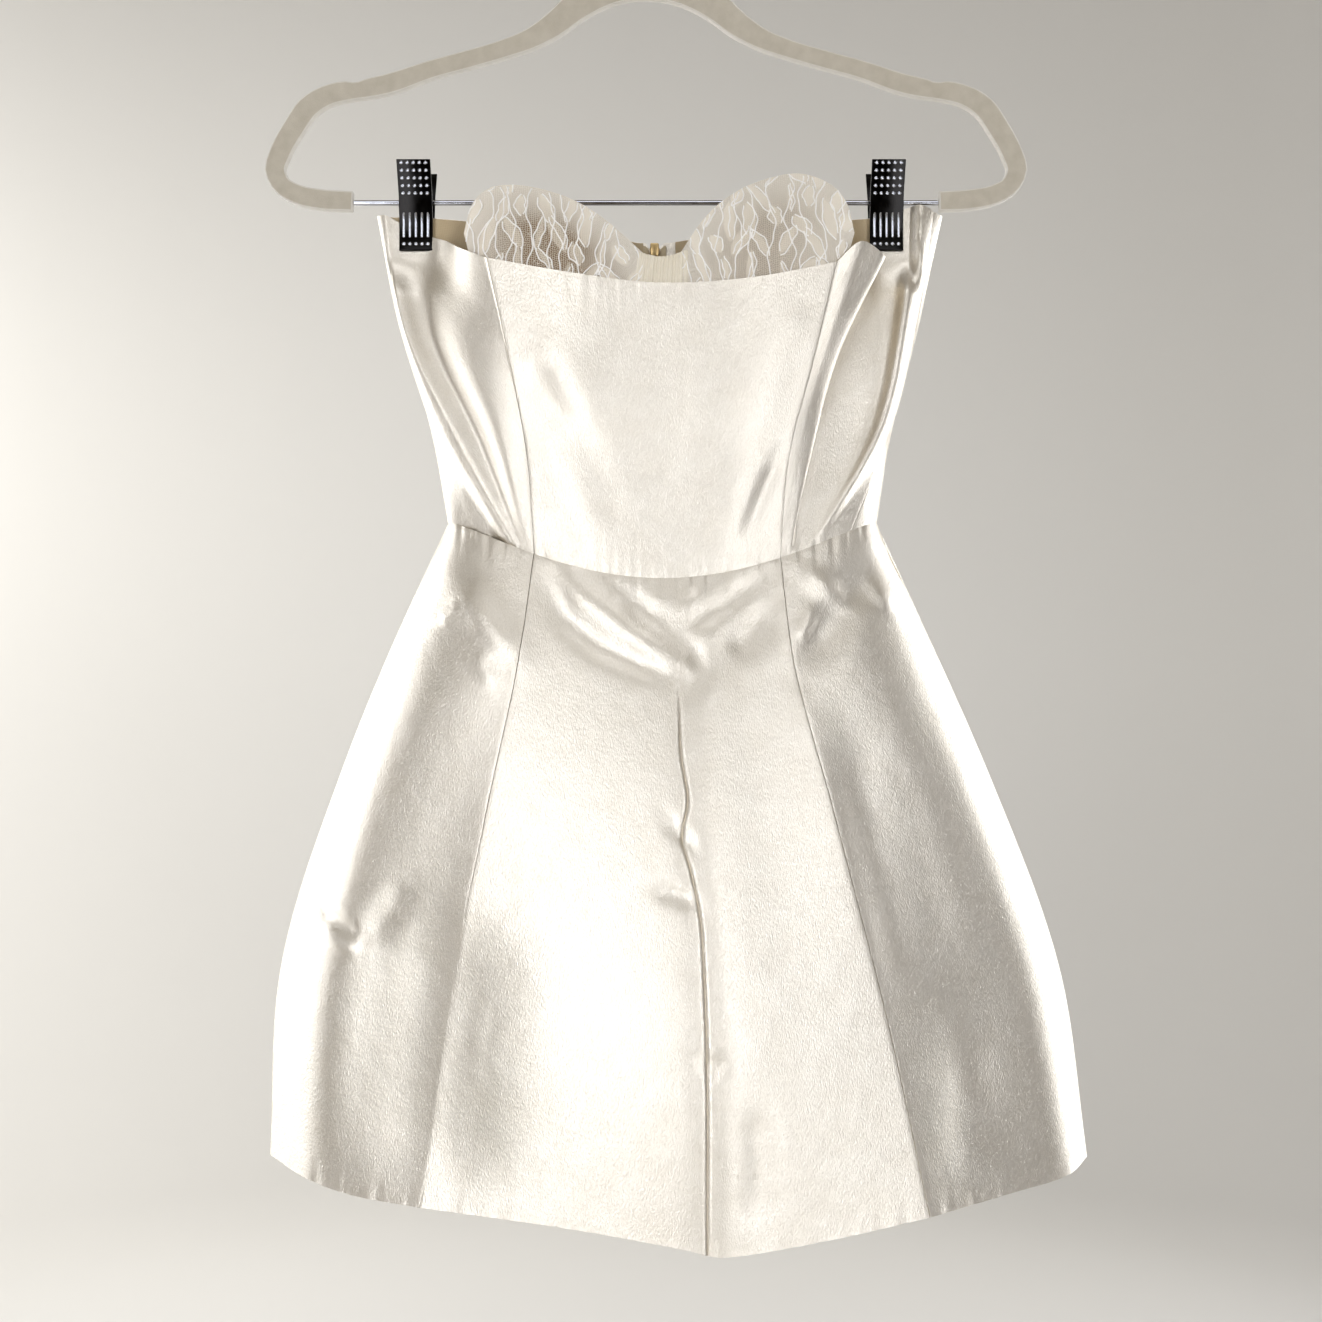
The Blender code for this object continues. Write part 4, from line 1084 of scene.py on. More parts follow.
def lace_leaves(low_x, high_x, low_drop, high_drop, seed):
    """Middles, turns and sizes of the leaves over a cup, in millimetres and radians."""
    chance = np.random.RandomState(seed)
    leaves = []
    row = 0
    drop = low_drop
    while drop < high_drop:
        x = low_x + (row % 2) * LEAF_PITCH_X / 2
        while x < high_x:
            leaves.append((
                x + chance.uniform(-LEAF_STRAY, LEAF_STRAY),
                drop + chance.uniform(-LEAF_STRAY, LEAF_STRAY),
                chance.uniform(-LEAF_LEAN, LEAF_LEAN),
                LEAF_LENGTH * chance.uniform(*LENGTH_SPREAD),
                LEAF_WIDTH * chance.uniform(*WIDTH_SPREAD),
            ))
            x += LEAF_PITCH_X
        drop += LEAF_PITCH_DROP
        row += 1
    return leaves


def leaf_fill(points, leaves):
    """1 inside a leaf, 0 outside, for each point of a cup."""
    x, drop = points[..., 0].ravel(), points[..., 2].ravel()
    fill = np.zeros(len(x))
    for leaf_x, leaf_drop, lean, length, width in leaves:
        along = (drop - leaf_drop) * math.cos(lean) + (x - leaf_x) * math.sin(lean)
        across = (x - leaf_x) * math.cos(lean) - (drop - leaf_drop) * math.sin(lean)
        reach = 1 - (along / (length / 2)) ** 2
        half = width / 2 * np.clip(reach, 0, 1) ** LEAF_ROUNDNESS
        inside = np.clip((half - np.abs(across)) / LEAF_EDGE, 0, 1) * (reach > 0)
        fill = np.maximum(fill, inside)
    return fill


def cord_lines(leaves, low_x, high_x, low_drop, high_drop, seed):
    """The cords as chains of x and drop: a leaf's two sides, or one and its vein, and stems."""
    chance = np.random.RandomState(seed + 1)
    lines = []
    for leaf_x, leaf_drop, lean, length, width in leaves:
        for side in (-1, 1) if chance.uniform() < BOTH_SIDES_SHARE else (1, 0):
            line = []
            span = chance.uniform(*CORD_REACH)
            for i in range(LEAF_CORD_STEPS + 1):
                t = (-1 + 2 * i / LEAF_CORD_STEPS) * span
                along = t * length / 2
                across = side * width / 2 * max(0.0, 1 - t * t) ** LEAF_ROUNDNESS
                across += 0.6 * math.sin(4 * t + leaf_x) + 0.25 * math.sin(9 * t + leaf_drop)
                line.append((
                    leaf_x + along * math.sin(lean) + across * math.cos(lean),
                    leaf_drop + along * math.cos(lean) - across * math.sin(lean),
                ))
            lines.append(line)
    x = low_x + 4
    while x < high_x:
        phase, sway = chance.uniform(0, 6.28), chance.uniform(*STEM_SWAY)
        line = []
        for i in range(STEM_STEPS + 1):
            drop = low_drop + (high_drop - low_drop) * i / STEM_STEPS
            wave = sway * math.sin(drop / STEM_WAVES[0] + phase)
            wave += 0.5 * math.sin(drop / STEM_WAVES[1] + phase)
            line.append((x + wave, drop))
        lines.append(line)
        x += LEAF_PITCH_X * chance.uniform(*STEM_SPACING)
    return lines


def tube(points, radius, sides=6):
    """Vertices and faces of a thin round cord along points in millimetres."""
    path = np.array(points)
    along = unit(np.gradient(path, axis=0))
    across = unit(np.cross(along, np.array((0, 1.0, 0))))
    out = np.cross(across, along)
    vertices = []
    for k in range(sides):
        angle = 2 * math.pi * k / sides
        vertices.append(path + (across * math.cos(angle) + out * math.sin(angle)) * radius)
    vertices = np.stack(vertices, 1).reshape(-1, 3)
    last = (len(path) - 1) * sides
    faces = ring_faces(len(path), sides)
    faces += [tuple(range(sides))[::-1], tuple(range(last, last + sides))]
    return vertices, faces


def corded(name, outer, lines, material):
    """The raised cords of one cup, laid on its outside and joined in one mesh."""
    surface = ray_surface([outer])
    vertices, faces, count = [], [], 0
    for line in lines:
        runs, run = [], []
        for x, drop in line:
            hit = first_hit(surface, x, drop)
            if hit is None:
                runs.append(run)
                run = []
            else:
                run.append((x, hit.y - CORD_RADIUS * CORD_RAISED, drop))
        runs.append(run)
        for run in runs:
            if len(run) < 3:
                continue
            cord_vertices, cord_faces = tube(run, CORD_RADIUS)
            vertices.append(cord_vertices)
            faces += [tuple(v + count for v in face) for face in cord_faces]
            count += len(cord_vertices)
    piece = mesh_piece(name, to_world(np.concatenate(vertices)), faces, material, angle=80)
    declare(piece)


def vertex_values(piece, name, values):
    attribute = piece.data.attributes.new(name, "FLOAT", "POINT")
    attribute.data.foreach_set("value", values.astype(np.float32))


def cup_shade(outer, strength):
    """Painted shade on the lace at each point: most in the cup's middle, below its top edge."""
    low_x, high_x = outer[..., 0].min(), outer[..., 0].max()
    depth = np.clip((outer[..., 2] - outer[:1, :, 2]) / SHADE_REACH, 0, 1)
    middle = bell((outer[..., 0] - low_x) / (high_x - low_x) - SHADE_MIDDLE, SHADE_WIDTH)
    return np.tile((depth**1.4 * (0.2 + 0.8 * middle)).ravel(), 2) * strength


def build_cups(panels, steps, lace, cord, gore):
    inside = [panel + step * (CLOTH + CUP_CLEARANCE) for panel, step in zip(panels, steps)]
    surface = ray_surface(inside[:3])
    # Each cup has a strength for its painted shade: the right cup gets half of the left's.
    for name, lines, seed, strength in (
        ("cup_left", CUP_LEFT, 3, 1.2), ("cup_right", CUP_RIGHT, 8, 0.6),
    ):
        outer = cup_points(surface, lines, *CUP_GRID)
        inner = outer + np.array((0, CUP_WALL, 0))
        cup = cloth_shell(name + "_lace", outer, inner, lace)
        extent = (
            outer[..., 0].min(), outer[..., 0].max(),
            outer[..., 2].min(), outer[..., 2].max() - LACE_HIDDEN,
        )
        leaves = lace_leaves(*extent, seed)
        fill = np.concatenate([leaf_fill(outer, leaves), leaf_fill(inner, leaves)])
        vertex_values(cup, "leaf", fill)
        # The painted shade is kept on the points, for the lace's colour.
        vertex_values(cup, "painted_shade", cup_shade(outer, strength))
        declare(cup, [name])
        corded(name + "_cord", outer, cord_lines(leaves, *extent, seed), cord)
    points = cup_points(surface, CUP_BRIDGE, *BRIDGE_GRID)
    ruche = np.cos(np.arange(points.shape[1]) * 2 * np.pi / RUCHE_COLUMNS) * RUCHE_HEIGHT
    flat = np.zeros_like(ruche)
    outer = points + np.stack([flat, ruche - RUCHE_FORWARD, flat], -1)
    inner = points + np.array((0, BRIDGE_WALL - RUCHE_FORWARD, 0))
    bridge = cloth_shell("ruched_gore", outer, inner, gore)
    declare(bridge, ["cup_bridge"])


ZIP_TAPE = 0.8
ZIP_SET_DOWN = 2.0
ZIP_BOTTOM_DROP = 337.0
ZIP_COLUMNS = 17
ZIP_MIDDLE = 8
# How many columns of the bodice's and of the skirt's backs the tape lies under.
TAPE_COLUMNS = {True: 9, False: 5}
# Teeth lie 1.1 mm apart on a real chain. They are drawn every 1.15 mm, on alternate sides.
TOOTH_PITCH = 1.15
TOOTH_SIZE = (2.0, 1.1, 0.9)
TOOTH_OFFSET = 0.55
# How many columns from the centre back the linings stop.
LINING_STOPS = 8
LINING_SET_DOWN = 0.6
SEAM_GAP = 0.3


def between_x(panel, step, depth, low, high):
    """The columns of a back panel, moved in by a depth, whose tops lie between two x's."""
    moved = panel + step * depth
    tops = moved[0, :, 0]
    keep = (tops >= low) & (tops <= high)
    return moved[:, keep]


def set_down(grid, top, bottom):
    """The grid with its first and last rows drawn in along the cloth."""
    grid = grid.copy()
    reach = 12
    grid[..., 2] += top * np.clip(1 - (grid[..., 2] - grid[:1, :, 2]) / reach, 0, 1)
    grid[..., 2] -= bottom * np.clip(1 - (grid[-1:, :, 2] - grid[..., 2]) / reach, 0, 1)
    return grid


def build_lining(panels, steps, lining):
    """The linings of the two backs, each ending beside the zip's tape."""
    for name, index, span in (
        ("lining_back_right", RIGHT_BACK, slice(0, -LINING_STOPS)),
        ("lining_back_left", LEFT_BACK, slice(LINING_STOPS, None)),
    ):
        low, high = (corner[0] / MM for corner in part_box(name))
        grids = []
        for depth in (CLOTH + SEAM_GAP, CLOTH + SEAM_GAP + LINING):
            cut = between_x(panels[index][:, span], steps[index][:, span], depth, low, high)
            grids.append(set_down(cut, LINING_SET_DOWN, SEAM_GAP))
        width = min(grid.shape[1] for grid in grids)
        grids = [grid[:, :width] for grid in grids]
        piece = cloth_shell(name + "_satin", *grids, lining)
        declare(piece, [name])
        hung(grids[0])


def widened(grid, columns):
    """A grid with another number of evenly taken columns."""
    at = np.linspace(0, grid.shape[1] - 1, columns)
    low = np.minimum(at.astype(int), grid.shape[1] - 2)
    part = (at - low)[None, :, None]
    return grid[:, low] * (1 - part) + grid[:, low + 1] * part


def build_zip(rings, tape, metal):
    """The tape inside the centre back, and the chain of teeth down its middle."""
    faces = []
    for depth in (CLOTH + SEAM_GAP, CLOTH + SEAM_GAP + ZIP_TAPE):
        rows = []
        for is_bodice, half in TAPE_COLUMNS.items():
            panels, steps = rings[is_bodice]
            right = (panels[RIGHT_BACK] + steps[RIGHT_BACK] * depth)[:, -half:]
            left = (panels[LEFT_BACK] + steps[LEFT_BACK] * depth)[:, :half]
            strip = widened(np.concatenate([right, left[:, 1:]], 1), ZIP_COLUMNS)
            rows.append(strip if is_bodice else strip[1:])
        strip = np.concatenate(rows)
        strip = strip[strip[:, ZIP_MIDDLE, 2] < ZIP_BOTTOM_DROP]
        faces.append(set_down(strip, ZIP_SET_DOWN, 0))
    piece = cloth_shell("zip_tape_cloth", *faces, tape)
    declare(piece, ["zip"])
    hung(faces[0])

    tooth = block((0, 0, -ROD_DROP_FROM_HOOK), TOOTH_SIZE, 0.22, segments=1)
    line = faces[1][:, ZIP_MIDDLE]
    steps = np.concatenate([[0], np.cumsum(np.linalg.norm(np.diff(line, axis=0), axis=1))])
    first, last = 6.0, steps[-1] - 2
    teeth = []
    for i, at in enumerate(np.arange(first, last, TOOTH_PITCH)):
        x, y, drop = (np.interp(at, steps, line[:, k]) for k in range(3))
        teeth.append(add_copy(tooth))
        side = 1 if i % 2 else -1
        teeth[-1].location = place(x + side * TOOTH_OFFSET, drop, y - 0.5)
    bpy.data.objects.remove(tooth)
    chain = join(teeth, "zip_teeth")
    finish_hard(chain, "zip_teeth", metal, angle=20)


# The middle of the pull's bar: x, y and drop.
PULL_PIVOT = (5.0, 10.9, 26.5)


def block(middle, size, bevel, segments=2):
    """A small cast block with eased edges; middle is x, y, drop in mm."""
    deselect_all()
    x, y, drop = middle
    bpy.ops.mesh.primitive_cube_add(size=MM, location=place(x, drop, y))
    piece = bpy.context.object
    work_on(piece)
    bpy.ops.transform.resize(value=size, center_override=place(x, drop, y))
    bpy.ops.mesh.bevel(offset=bevel * MM, segments=segments)
    put_down()
    return piece


def pin(radius, length, vertices):
    """A round pin across the zip, through the pull's pivot."""
    x, y, drop = PULL_PIVOT
    deselect_all()
    bpy.ops.mesh.primitive_cylinder_add(
        vertices=vertices, radius=radius * MM, depth=length * MM,
        location=place(x, drop, y), rotation=(0, math.radians(90), 0),
    )
    return bpy.context.object


def build_slider(metal):
    """The zip's slider and its hinged pull."""
    x, y, drop = PULL_PIVOT
    bar = pin(0.6, 5.6, 16)
    body = block((x, 2.0, drop + 0.5), (5.2, 2.4, 8.0), 0.8)
    post = block((x, 5.6, drop), (1.6, 6.0, 2.8), 0.3)
    plate = block((x, 8.3, drop), (6.0, 0.8, 5.0), 0.3)
    lugs = [block((x + side, 10.0, drop), (0.8, 3.4, 2.4), 0.3) for side in (-2.5, 2.5)]
    parts = [body, post, plate, *lugs, bar]
    slider = join(parts, "slider")
    finish_hard(slider, "zip_slider_metal", metal, ["zip_slider"])

    eye = pin(1.7, 3.4, 24)
    bpy.ops.object.transform_apply()
    work_on(eye)
    select_faces(eye, lambda middle, normal: abs(normal.x) > 0.9)
    bpy.ops.mesh.inset(thickness=0.75 * MM)
    bpy.ops.mesh.bridge_edge_loops()
    put_down()
    low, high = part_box("zip_pull")
    width = (high[0] - low[0]) / MM
    length = -low[2] / MM - ROD_DROP_FROM_HOOK - drop
    neck = 1.25
    tab = block((x, y, drop + (length + neck) / 2), (width, 1.0, length - neck), 0.35)
    work_on(tab)
    select_faces(tab, lambda middle, normal: abs(normal.y) > 0.95)
    bpy.ops.mesh.inset(thickness=0.7 * MM)
    bpy.ops.transform.resize(value=(1, 0.5, 1), center_override=place(x, drop, y))
    put_down()
    pull = join([eye, tab], "pull")
    finish_hard(pull, "zip_pull_metal", metal, ["zip_pull"], body="zip_pull")


# ---- Hard pieces --------------------------------------------------------------------------
def drawn_line(name, points):
    """A chain of edges, drawn by extruding one vertex from point to point."""
    deselect_all()
    bpy.ops.mesh.primitive_plane_add(size=MM, location=points[0])
    piece = bpy.context.object
    piece.name = name
    work_on(piece)
    bpy.ops.mesh.merge(type="CENTER")
    for a, b in zip(points, points[1:]):
        bpy.ops.mesh.extrude_region_move(TRANSFORM_OT_translate={"value": tuple(b - a)})
    put_down()
    return piece


def wire(name, points, radius, sides):
    """A round wire along a drawn line."""
    piece = drawn_line(name, points)
    bpy.ops.object.convert(target="CURVE")
    piece = bpy.context.object
    piece.data.bevel_depth = radius * MM
    piece.data.bevel_resolution = sides
    piece.data.use_fill_caps = True
    bpy.ops.object.convert(target="MESH")
    return bpy.context.object


def select_faces(piece, test):
    """In edit mode, selects the faces whose middle and normal pass a test."""
    bpy.ops.mesh.select_mode(type="FACE")
    bpy.ops.mesh.select_all(action="DESELECT")
    work = bmesh.from_edit_mesh(piece.data)
    for face in work.faces:
        face.select = bool(test(face.calc_center_median(), face.normal))
    work.select_flush_mode()
    bmesh.update_edit_mesh(piece.data)


def join(pieces, name):
    """Joins pieces into the first of them."""
    deselect_all()
    for piece in pieces:
        piece.select_set(True)
    bpy.context.view_layer.objects.active = pieces[0]
    bpy.ops.object.join()
    pieces[0].name = name
    return pieces[0]


def apply_modifier(piece, kind, **settings):
    pick(piece)
    modifier = piece.modifiers.new(kind.lower(), kind)
    for key, value in settings.items():
        setattr(modifier, key, value)
    bpy.ops.object.modifier_apply(modifier=modifier.name)


def round_edges(piece, width):
    """Rounds the sharp edges of a piece by a width in millimetres."""
    apply_modifier(
        piece, "BEVEL", width=width * MM, segments=3, limit_method="ANGLE",
        angle_limit=math.radians(50),
    )


def coat(piece, material):
    """Gives a part its own finish before it is joined to others."""
    piece.data.materials.clear()
    piece.data.materials.append(material)
    return piece


def finish_hard(piece, name, material, nodes=(), body="dress", angle=35):
    """Puts a made piece in its mesh's place, smooths it and says what it stands for."""
    pick(piece)
    bpy.ops.object.transform_apply()
    work_on(piece)
    bpy.ops.mesh.normals_make_consistent(inside=False)
    put_down()
    bpy.ops.object.shade_smooth_by_angle(angle=math.radians(angle))
    if material:
        coat(piece, material)
    piece.name = name
    declare(piece, nodes, body)


HangerPoint = namedtuple("HangerPoint", "name x drop width")

HANGER_HALF = table(
    HangerPoint,
    ("bar_end", -171.7, -0.6, 11.6),
    ("bar", -190, -1.6, 12),
    ("heel", -204, -4.5, 11.6),
    ("corner", -213.4, -10, 11.2),
    ("end", -217.3, -19, 12.2),
    ("rise", -214.3, -29, 12.6),
    ("flank", -206.3, -43.6, 13),
    ("turn", -197.2, -56.2, 13.2),
    ("shoulder", -185.5, -62.9, 12.4),
    ("notch_start", -176, -65, 12),
    ("notch", -169.6, -65.2, 10.2),
    ("notch_end", -162.5, -66.8, 11.6),
    ("arm", -152.6, -68.9, 12),
    ("arm_low", -125, -78, 11),
    ("arm_middle", -103.3, -83.9, 11),
    ("arm_high", -83.4, -89.8, 11.2),
    ("neck_foot", -67.5, -95.8, 12.6),
    ("neck", -54.6, -103.6, 15),
    ("crest_side", -41, -114.6, 17.2),
    ("crest_turn", -23, -124.6, 19.2),
    ("crest", 0, -129.7, 21.2),
)
HANGER_THICKNESS = 5.0
HANGER_RIM = 2.2
HANGER_RECESS = 0.5
HANGER_STEPS = 150
ROD_PLACES = (-171.3, -60, 60, 171.3)
ROD_RADIUS = 1.6
HOOK_RADIUS = 1.7
# The hook's wire rises from the crest in x and z, and goes on round an arc: its radius,
# the height of its middle, where it starts and how far it turns in degrees, and its steps.
HOOK_STEM = [(0, -85.6), (0, -66), (1, -57.5), (5.2, -47.5)]
HOOK_ARC = (21.7, -20, -42, 238, 36)


def hanger_outlines():
    """The two long edges of the hanger's body, as points in metres."""
    half = HANGER_HALF
    mirrored = [HangerPoint(n.name, -n.x, n.drop, n.width) for n in reversed(half[:-1])]
    path = half + mirrored
    values = [Vector((n.x, n.width, n.drop)) for n in path]
    knots = [0.0]
    for a, b in zip(path, path[1:]):
        knots.append(knots[-1] + math.hypot(b.x - a.x, b.drop - a.drop))
    count = HANGER_STEPS
    middles = [spline(values, knots, knots[-1] * i / count) for i in range(count + 1)]
    edges = ([], [])
    for i, middle in enumerate(middles):
        before, after = middles[max(0, i - 1)], middles[min(count, i + 1)]
        along = Vector((after.x - before.x, after.z - before.z)).normalized()
        for edge, side in zip(edges, (1, -1)):
            x = middle.x + side * along.y * middle.y / 2
            drop = middle.z - side * along.x * middle.y / 2
            edge.append(place(x, drop, -HANGER_THICKNESS / 2))
    return edges


def build_hanger(velvet, rim_highlight_velvet, chrome_and_stud_highlight):
    """The body is two drawn edges bridged to a band, thickened, with a raised rim."""
    first, second = (drawn_line("hanger_edge", edge) for edge in hanger_outlines())
    band = join([first, second], "hanger_band")
    bpy.ops.object.transform_apply()
    work_on(band)
    bpy.ops.mesh.bridge_edge_loops()
    bpy.ops.mesh.select_all(action="SELECT")
    bpy.ops.mesh.extrude_region_move(
        TRANSFORM_OT_translate={"value": (0, HANGER_THICKNESS * MM, 0)}
    )
    bpy.ops.mesh.select_all(action="SELECT")
    bpy.ops.mesh.normals_make_consistent(inside=False)
    for side in (-1, 1):
        select_faces(band, lambda middle, normal: normal.y * side > 0.9)
        bpy.ops.mesh.inset(thickness=HANGER_RIM * MM, depth=-HANGER_RECESS * MM)
    put_down()
    round_edges(band, 0.9)
    # All but the recessed faces take the lighter velvet: painted highlight along the hanger's rim
    # and edges.
    coat(band, rim_highlight_velvet)
    band.data.materials.append(velvet)
    recessed = (HANGER_THICKNESS / 2 - 0.3) * MM
    for face in band.data.polygons:
        if abs(face.normal.y) > 0.95 and abs(face.center.y) < recessed:
            face.material_index = 1
    finish_hard(band, "velvet_hanger", None, ["hanger_body"])

    rod = wire("rod", [place(x, 0) for x in ROD_PLACES], ROD_RADIUS, 5)
    finish_hard(rod, "chrome_rod", chrome_and_stud_highlight, ["hanger_rod"])

    points = [Vector((x, 0, z)) * MM for x, z in HOOK_STEM]
    radius, middle_z, first_turn, whole_turn, count = HOOK_ARC
    for i in range(count + 1):
        angle = math.radians(first_turn + whole_turn * i / count)
        points.append(Vector((math.cos(angle), 0, math.sin(angle))) * radius * MM)
        points[-1].z += middle_z * MM
    hook = wire("hook", points, HOOK_RADIUS, 5)
    finish_hard(hook, "chrome_hook", chrome_and_stud_highlight, ["hanger_hook"])


ClipPoint = namedtuple("ClipPoint", "name y z")

CLIP_JAW = table(
    ClipPoint,
    ("handle_tip", -12.6, 21.5),
    ("handle_root", -5.6, 5),
    ("spring", -4.6, 1.5),
    ("below_spring", -4.6, -2.5),
    ("jaw_root", -2.6, -9.5),
    ("jaw_tip", -2.6, -28),
    ("lip", -3.2, -29.2),
)
CLIP_WIDTH = 19.6
CLIP_PLATE = 1.3
# The domes and ribs on the plates, with heights above the rod.
STUD_RADIUS = 1.15
STUD_FLATNESS = 0.62
STUD_PITCH_X = 3.5
STUD_PITCH_Z = 3.9
STUD_TOP = 19.4
LOW_STUD_Z = -25.0
RIB_TOP = 2.2
RIB_BOTTOM = -21.5
RIB_STAGGER = 1.5
RIB_WIDTH = 1.7
RIB_DEPTH = 1.6
# The spring's turns, steps to a turn, radius and length.
COIL = (9, 14, 3.1, 12.8)


def clip_plate(side):
    """A sprung plate: its side profile drawn, pulled across its width and thickened."""
    half = CLIP_WIDTH / 2 * MM
    points = [Vector((-half, -n.y * side * MM, n.z * MM)) for n in CLIP_JAW]
    plate = drawn_line("plate", points)
    work_on(plate)
    bpy.ops.mesh.extrude_region_move(TRANSFORM_OT_translate={"value": (2 * half, 0, 0)})
    bpy.ops.mesh.normals_make_consistent(inside=False)
    put_down()
    bpy.ops.object.transform_apply()
    facing = sum(p.normal.y for p in plate.data.polygons)
    if facing * side < 0:
        plate.data.flip_normals()
    apply_modifier(plate, "SOLIDIFY", thickness=CLIP_PLATE * MM, offset=1.0)
    round_edges(plate, 0.35)
    return plate


def clip_y(z, side):
    """The outer face of a plate at a height from the rod."""
    for a, b in zip(CLIP_JAW, CLIP_JAW[1:]):
        if a.z >= z >= b.z:
            share = (a.z - z) / (a.z - b.z)
            return -(a.y + (b.y - a.y) * share) * side + side * CLIP_PLATE
    return -CLIP_JAW[-1].y * side


def on_plate(x, z, side):
    return (x * MM, clip_y(z, side) * MM, z * MM)


def stud(x, z, side):
    """A low dome on a plate."""
    deselect_all()
    bpy.ops.mesh.primitive_uv_sphere_add(
        segments=12, ring_count=8, radius=STUD_RADIUS * MM,
        location=on_plate(x, z, side), scale=(1, STUD_FLATNESS, 1),
    )
    return bpy.context.object


def rib(x, top, bottom, side):
    """A rounded bar on the jaw: a block with its edges bevelled."""
    middle = (top + bottom) / 2
    deselect_all()
    bpy.ops.mesh.primitive_cube_add(
        size=MM, location=on_plate(x, middle, side), scale=(RIB_WIDTH, RIB_DEPTH, top - bottom)
    )
    bar = bpy.context.object
    bpy.ops.object.transform_apply(location=False, rotation=False, scale=True)
    apply_modifier(bar, "BEVEL", width=0.7 * MM, segments=3)
    return bar


def build_clips(dark_chrome, chrome_and_stud_highlight):
    """One front and one back plate with their domes and ribs, copied to both clips. The domes and
    ribs take the bright chrome as painted highlight on the black plate.
    """
    places = [STUD_PITCH_X * (k - 2) for k in range(5)]
    for side, name in ((-1, "front"), (1, "back")):
        parts = [coat(clip_plate(side), dark_chrome)]
        # The domes and ribs are coated bright: painted highlight, where the plate's own finish is
        # black.
        for row in range(5):
            for x in places:
                parts.append(coat(stud(x, STUD_TOP - STUD_PITCH_Z * row, side), chrome_and_stud_highlight))
        for k, x in enumerate(places):
            top = RIB_TOP - RIB_STAGGER * (k % 2)
            parts.append(coat(rib(x, top, RIB_BOTTOM, side), chrome_and_stud_highlight))
            parts.append(coat(stud(x, LOW_STUD_Z, side), chrome_and_stud_highlight))
        master = join(parts, "clip_" + name)
        for where, centre in CLIP_CENTRES.items():
            piece = add_copy(master)
            piece.location = place(centre, 0)
            jaw = f"clip_jaw_{where}_{name}"
            finish_hard(piece, jaw, None, [f"clip_{where}_{name}"])
        bpy.data.objects.remove(master)
    turns, per_turn, radius, length = COIL
    steps = turns * per_turn
    for where, centre in CLIP_CENTRES.items():
        points = []
        for i in range(steps + 1):
            angle = 2 * math.pi * i / per_turn
            x = centre - length / 2 + length * i / steps
            points.append(place(x, radius * math.sin(angle), radius * math.cos(angle)))
        coil = wire("coil", points, 0.6, 2)
        finish_hard(coil, f"clip_coil_{where}", chrome_and_stud_highlight, [f"clip_{where}_spring"])


# ---- Materials ----------------------------------------------------------------------------
def noise(material, vector, scale, detail, roughness=0.5):
    settings = {"Scale": scale, "Detail": detail, "Roughness": roughness}
    node = add_node(material, "ShaderNodeTexNoise", settings, {"Vector": vector})
    return node.outputs["Fac"]


def mixed(material, share, low, high):
    """A colour between two, each given in hex or as another node's output."""
    node = add_node(material, "ShaderNodeMix", {"data_type": "RGBA"}, {0: share})
    for index, colour in ((6, low), (7, high)):
        if isinstance(colour, str):
            node.inputs[index].default_value = linear(colour)
        else:
            link(material, colour, node.inputs[index])
    return node.outputs[2]


def spread(material, value, from_low, from_high, low, high):
    """A value's range stretched to another range."""
    settings = {"From Min": from_low, "From Max": from_high, "To Min": low, "To Max": high}
    node = add_node(material, "ShaderNodeMapRange", settings, {"Value": value})
    return node.outputs["Result"]


def maths(material, operation, one, two):
    node = add_node(material, "ShaderNodeMath", {"operation": operation}, {0: one, 1: two})
    return node.outputs["Value"]


def bump(material, height, strength, distance, below=None):
    """A relief, laid over another one if that is given."""
    links = {"Height": height}
    if below:
        links["Normal"] = below
    settings = {"Strength": strength, "Distance": distance}
    return add_node(material, "ShaderNodeBump", settings, links).outputs["Normal"]


def woven_material(name, low, high, threads, roughness):
    """Plain woven cloth: crossing threads, a little uneven in tone from place to place."""
    material, shader = new_material(name)
    uv = add_node(material, "ShaderNodeTexCoord").outputs["UV"]
    patches = noise(material, uv, 60.0, 4.0)
    link(material, mixed(material, patches, low, high), shader.inputs["Base Color"])
    waves = []
    for direction in ("X", "Y"):
        # The threads are drawn about three times as coarse as the cloth's own.
        settings = {"bands_direction": direction, "Scale": threads / 3, "Distortion": 0.6}
        wave = add_node(material, "ShaderNodeTexWave", settings, {"Vector": uv})
        waves.append(wave.outputs["Fac"])
    weave = maths(material, "ADD", *waves)
    link(material, bump(material, weave, 0.3, 0.0002), shader.inputs["Normal"])
    shader.inputs["Roughness"].default_value = roughness
    shader.inputs["Sheen Weight"].default_value = 0.15
    return material


def satin_material():
    """Duchess satin: long floats give a pearly shine over a fine slanting grain."""
    material, shader = new_material("duchess_satin")
    uv = add_node(material, "ShaderNodeTexCoord").outputs["UV"]
    # The real float is 0.2 mm wide. It is drawn 0.8 mm wide and 1.8 mm long to show at all.
    slant = {"Rotation": (0, 0, math.radians(24)), "Scale": (1300, 560, 1)}
    turned = add_node(material, "ShaderNodeMapping", slant, {"Vector": uv})
    grain = noise(material, turned.outputs["Vector"], 1.0, 2.0, 0.6)
    cloudy = noise(material, uv, 55.0, 3.0, 0.55)
    tint = mixed(material, cloudy, "#e3d9c6", "#eee6d6")
    fleck = spread(material, grain, 0.3, 0.7, 0.0, 0.22)
    link(material, mixed(material, fleck, tint, "#b3a68f"), shader.inputs["Base Color"])
    rough = spread(material, grain, 0.3, 0.7, 0.34, 0.42)
    link(material, rough, shader.inputs["Roughness"])
    soft = bump(material, cloudy, 0.25, 0.0015)
    link(material, bump(material, grain, 0.8, 0.00025, soft), shader.inputs["Normal"])
    shader.inputs["Metallic"].default_value = 0.9
    shader.inputs["IOR"].default_value = 1.5
    shader.inputs["Specular IOR Level"].default_value = 1.0
    return material


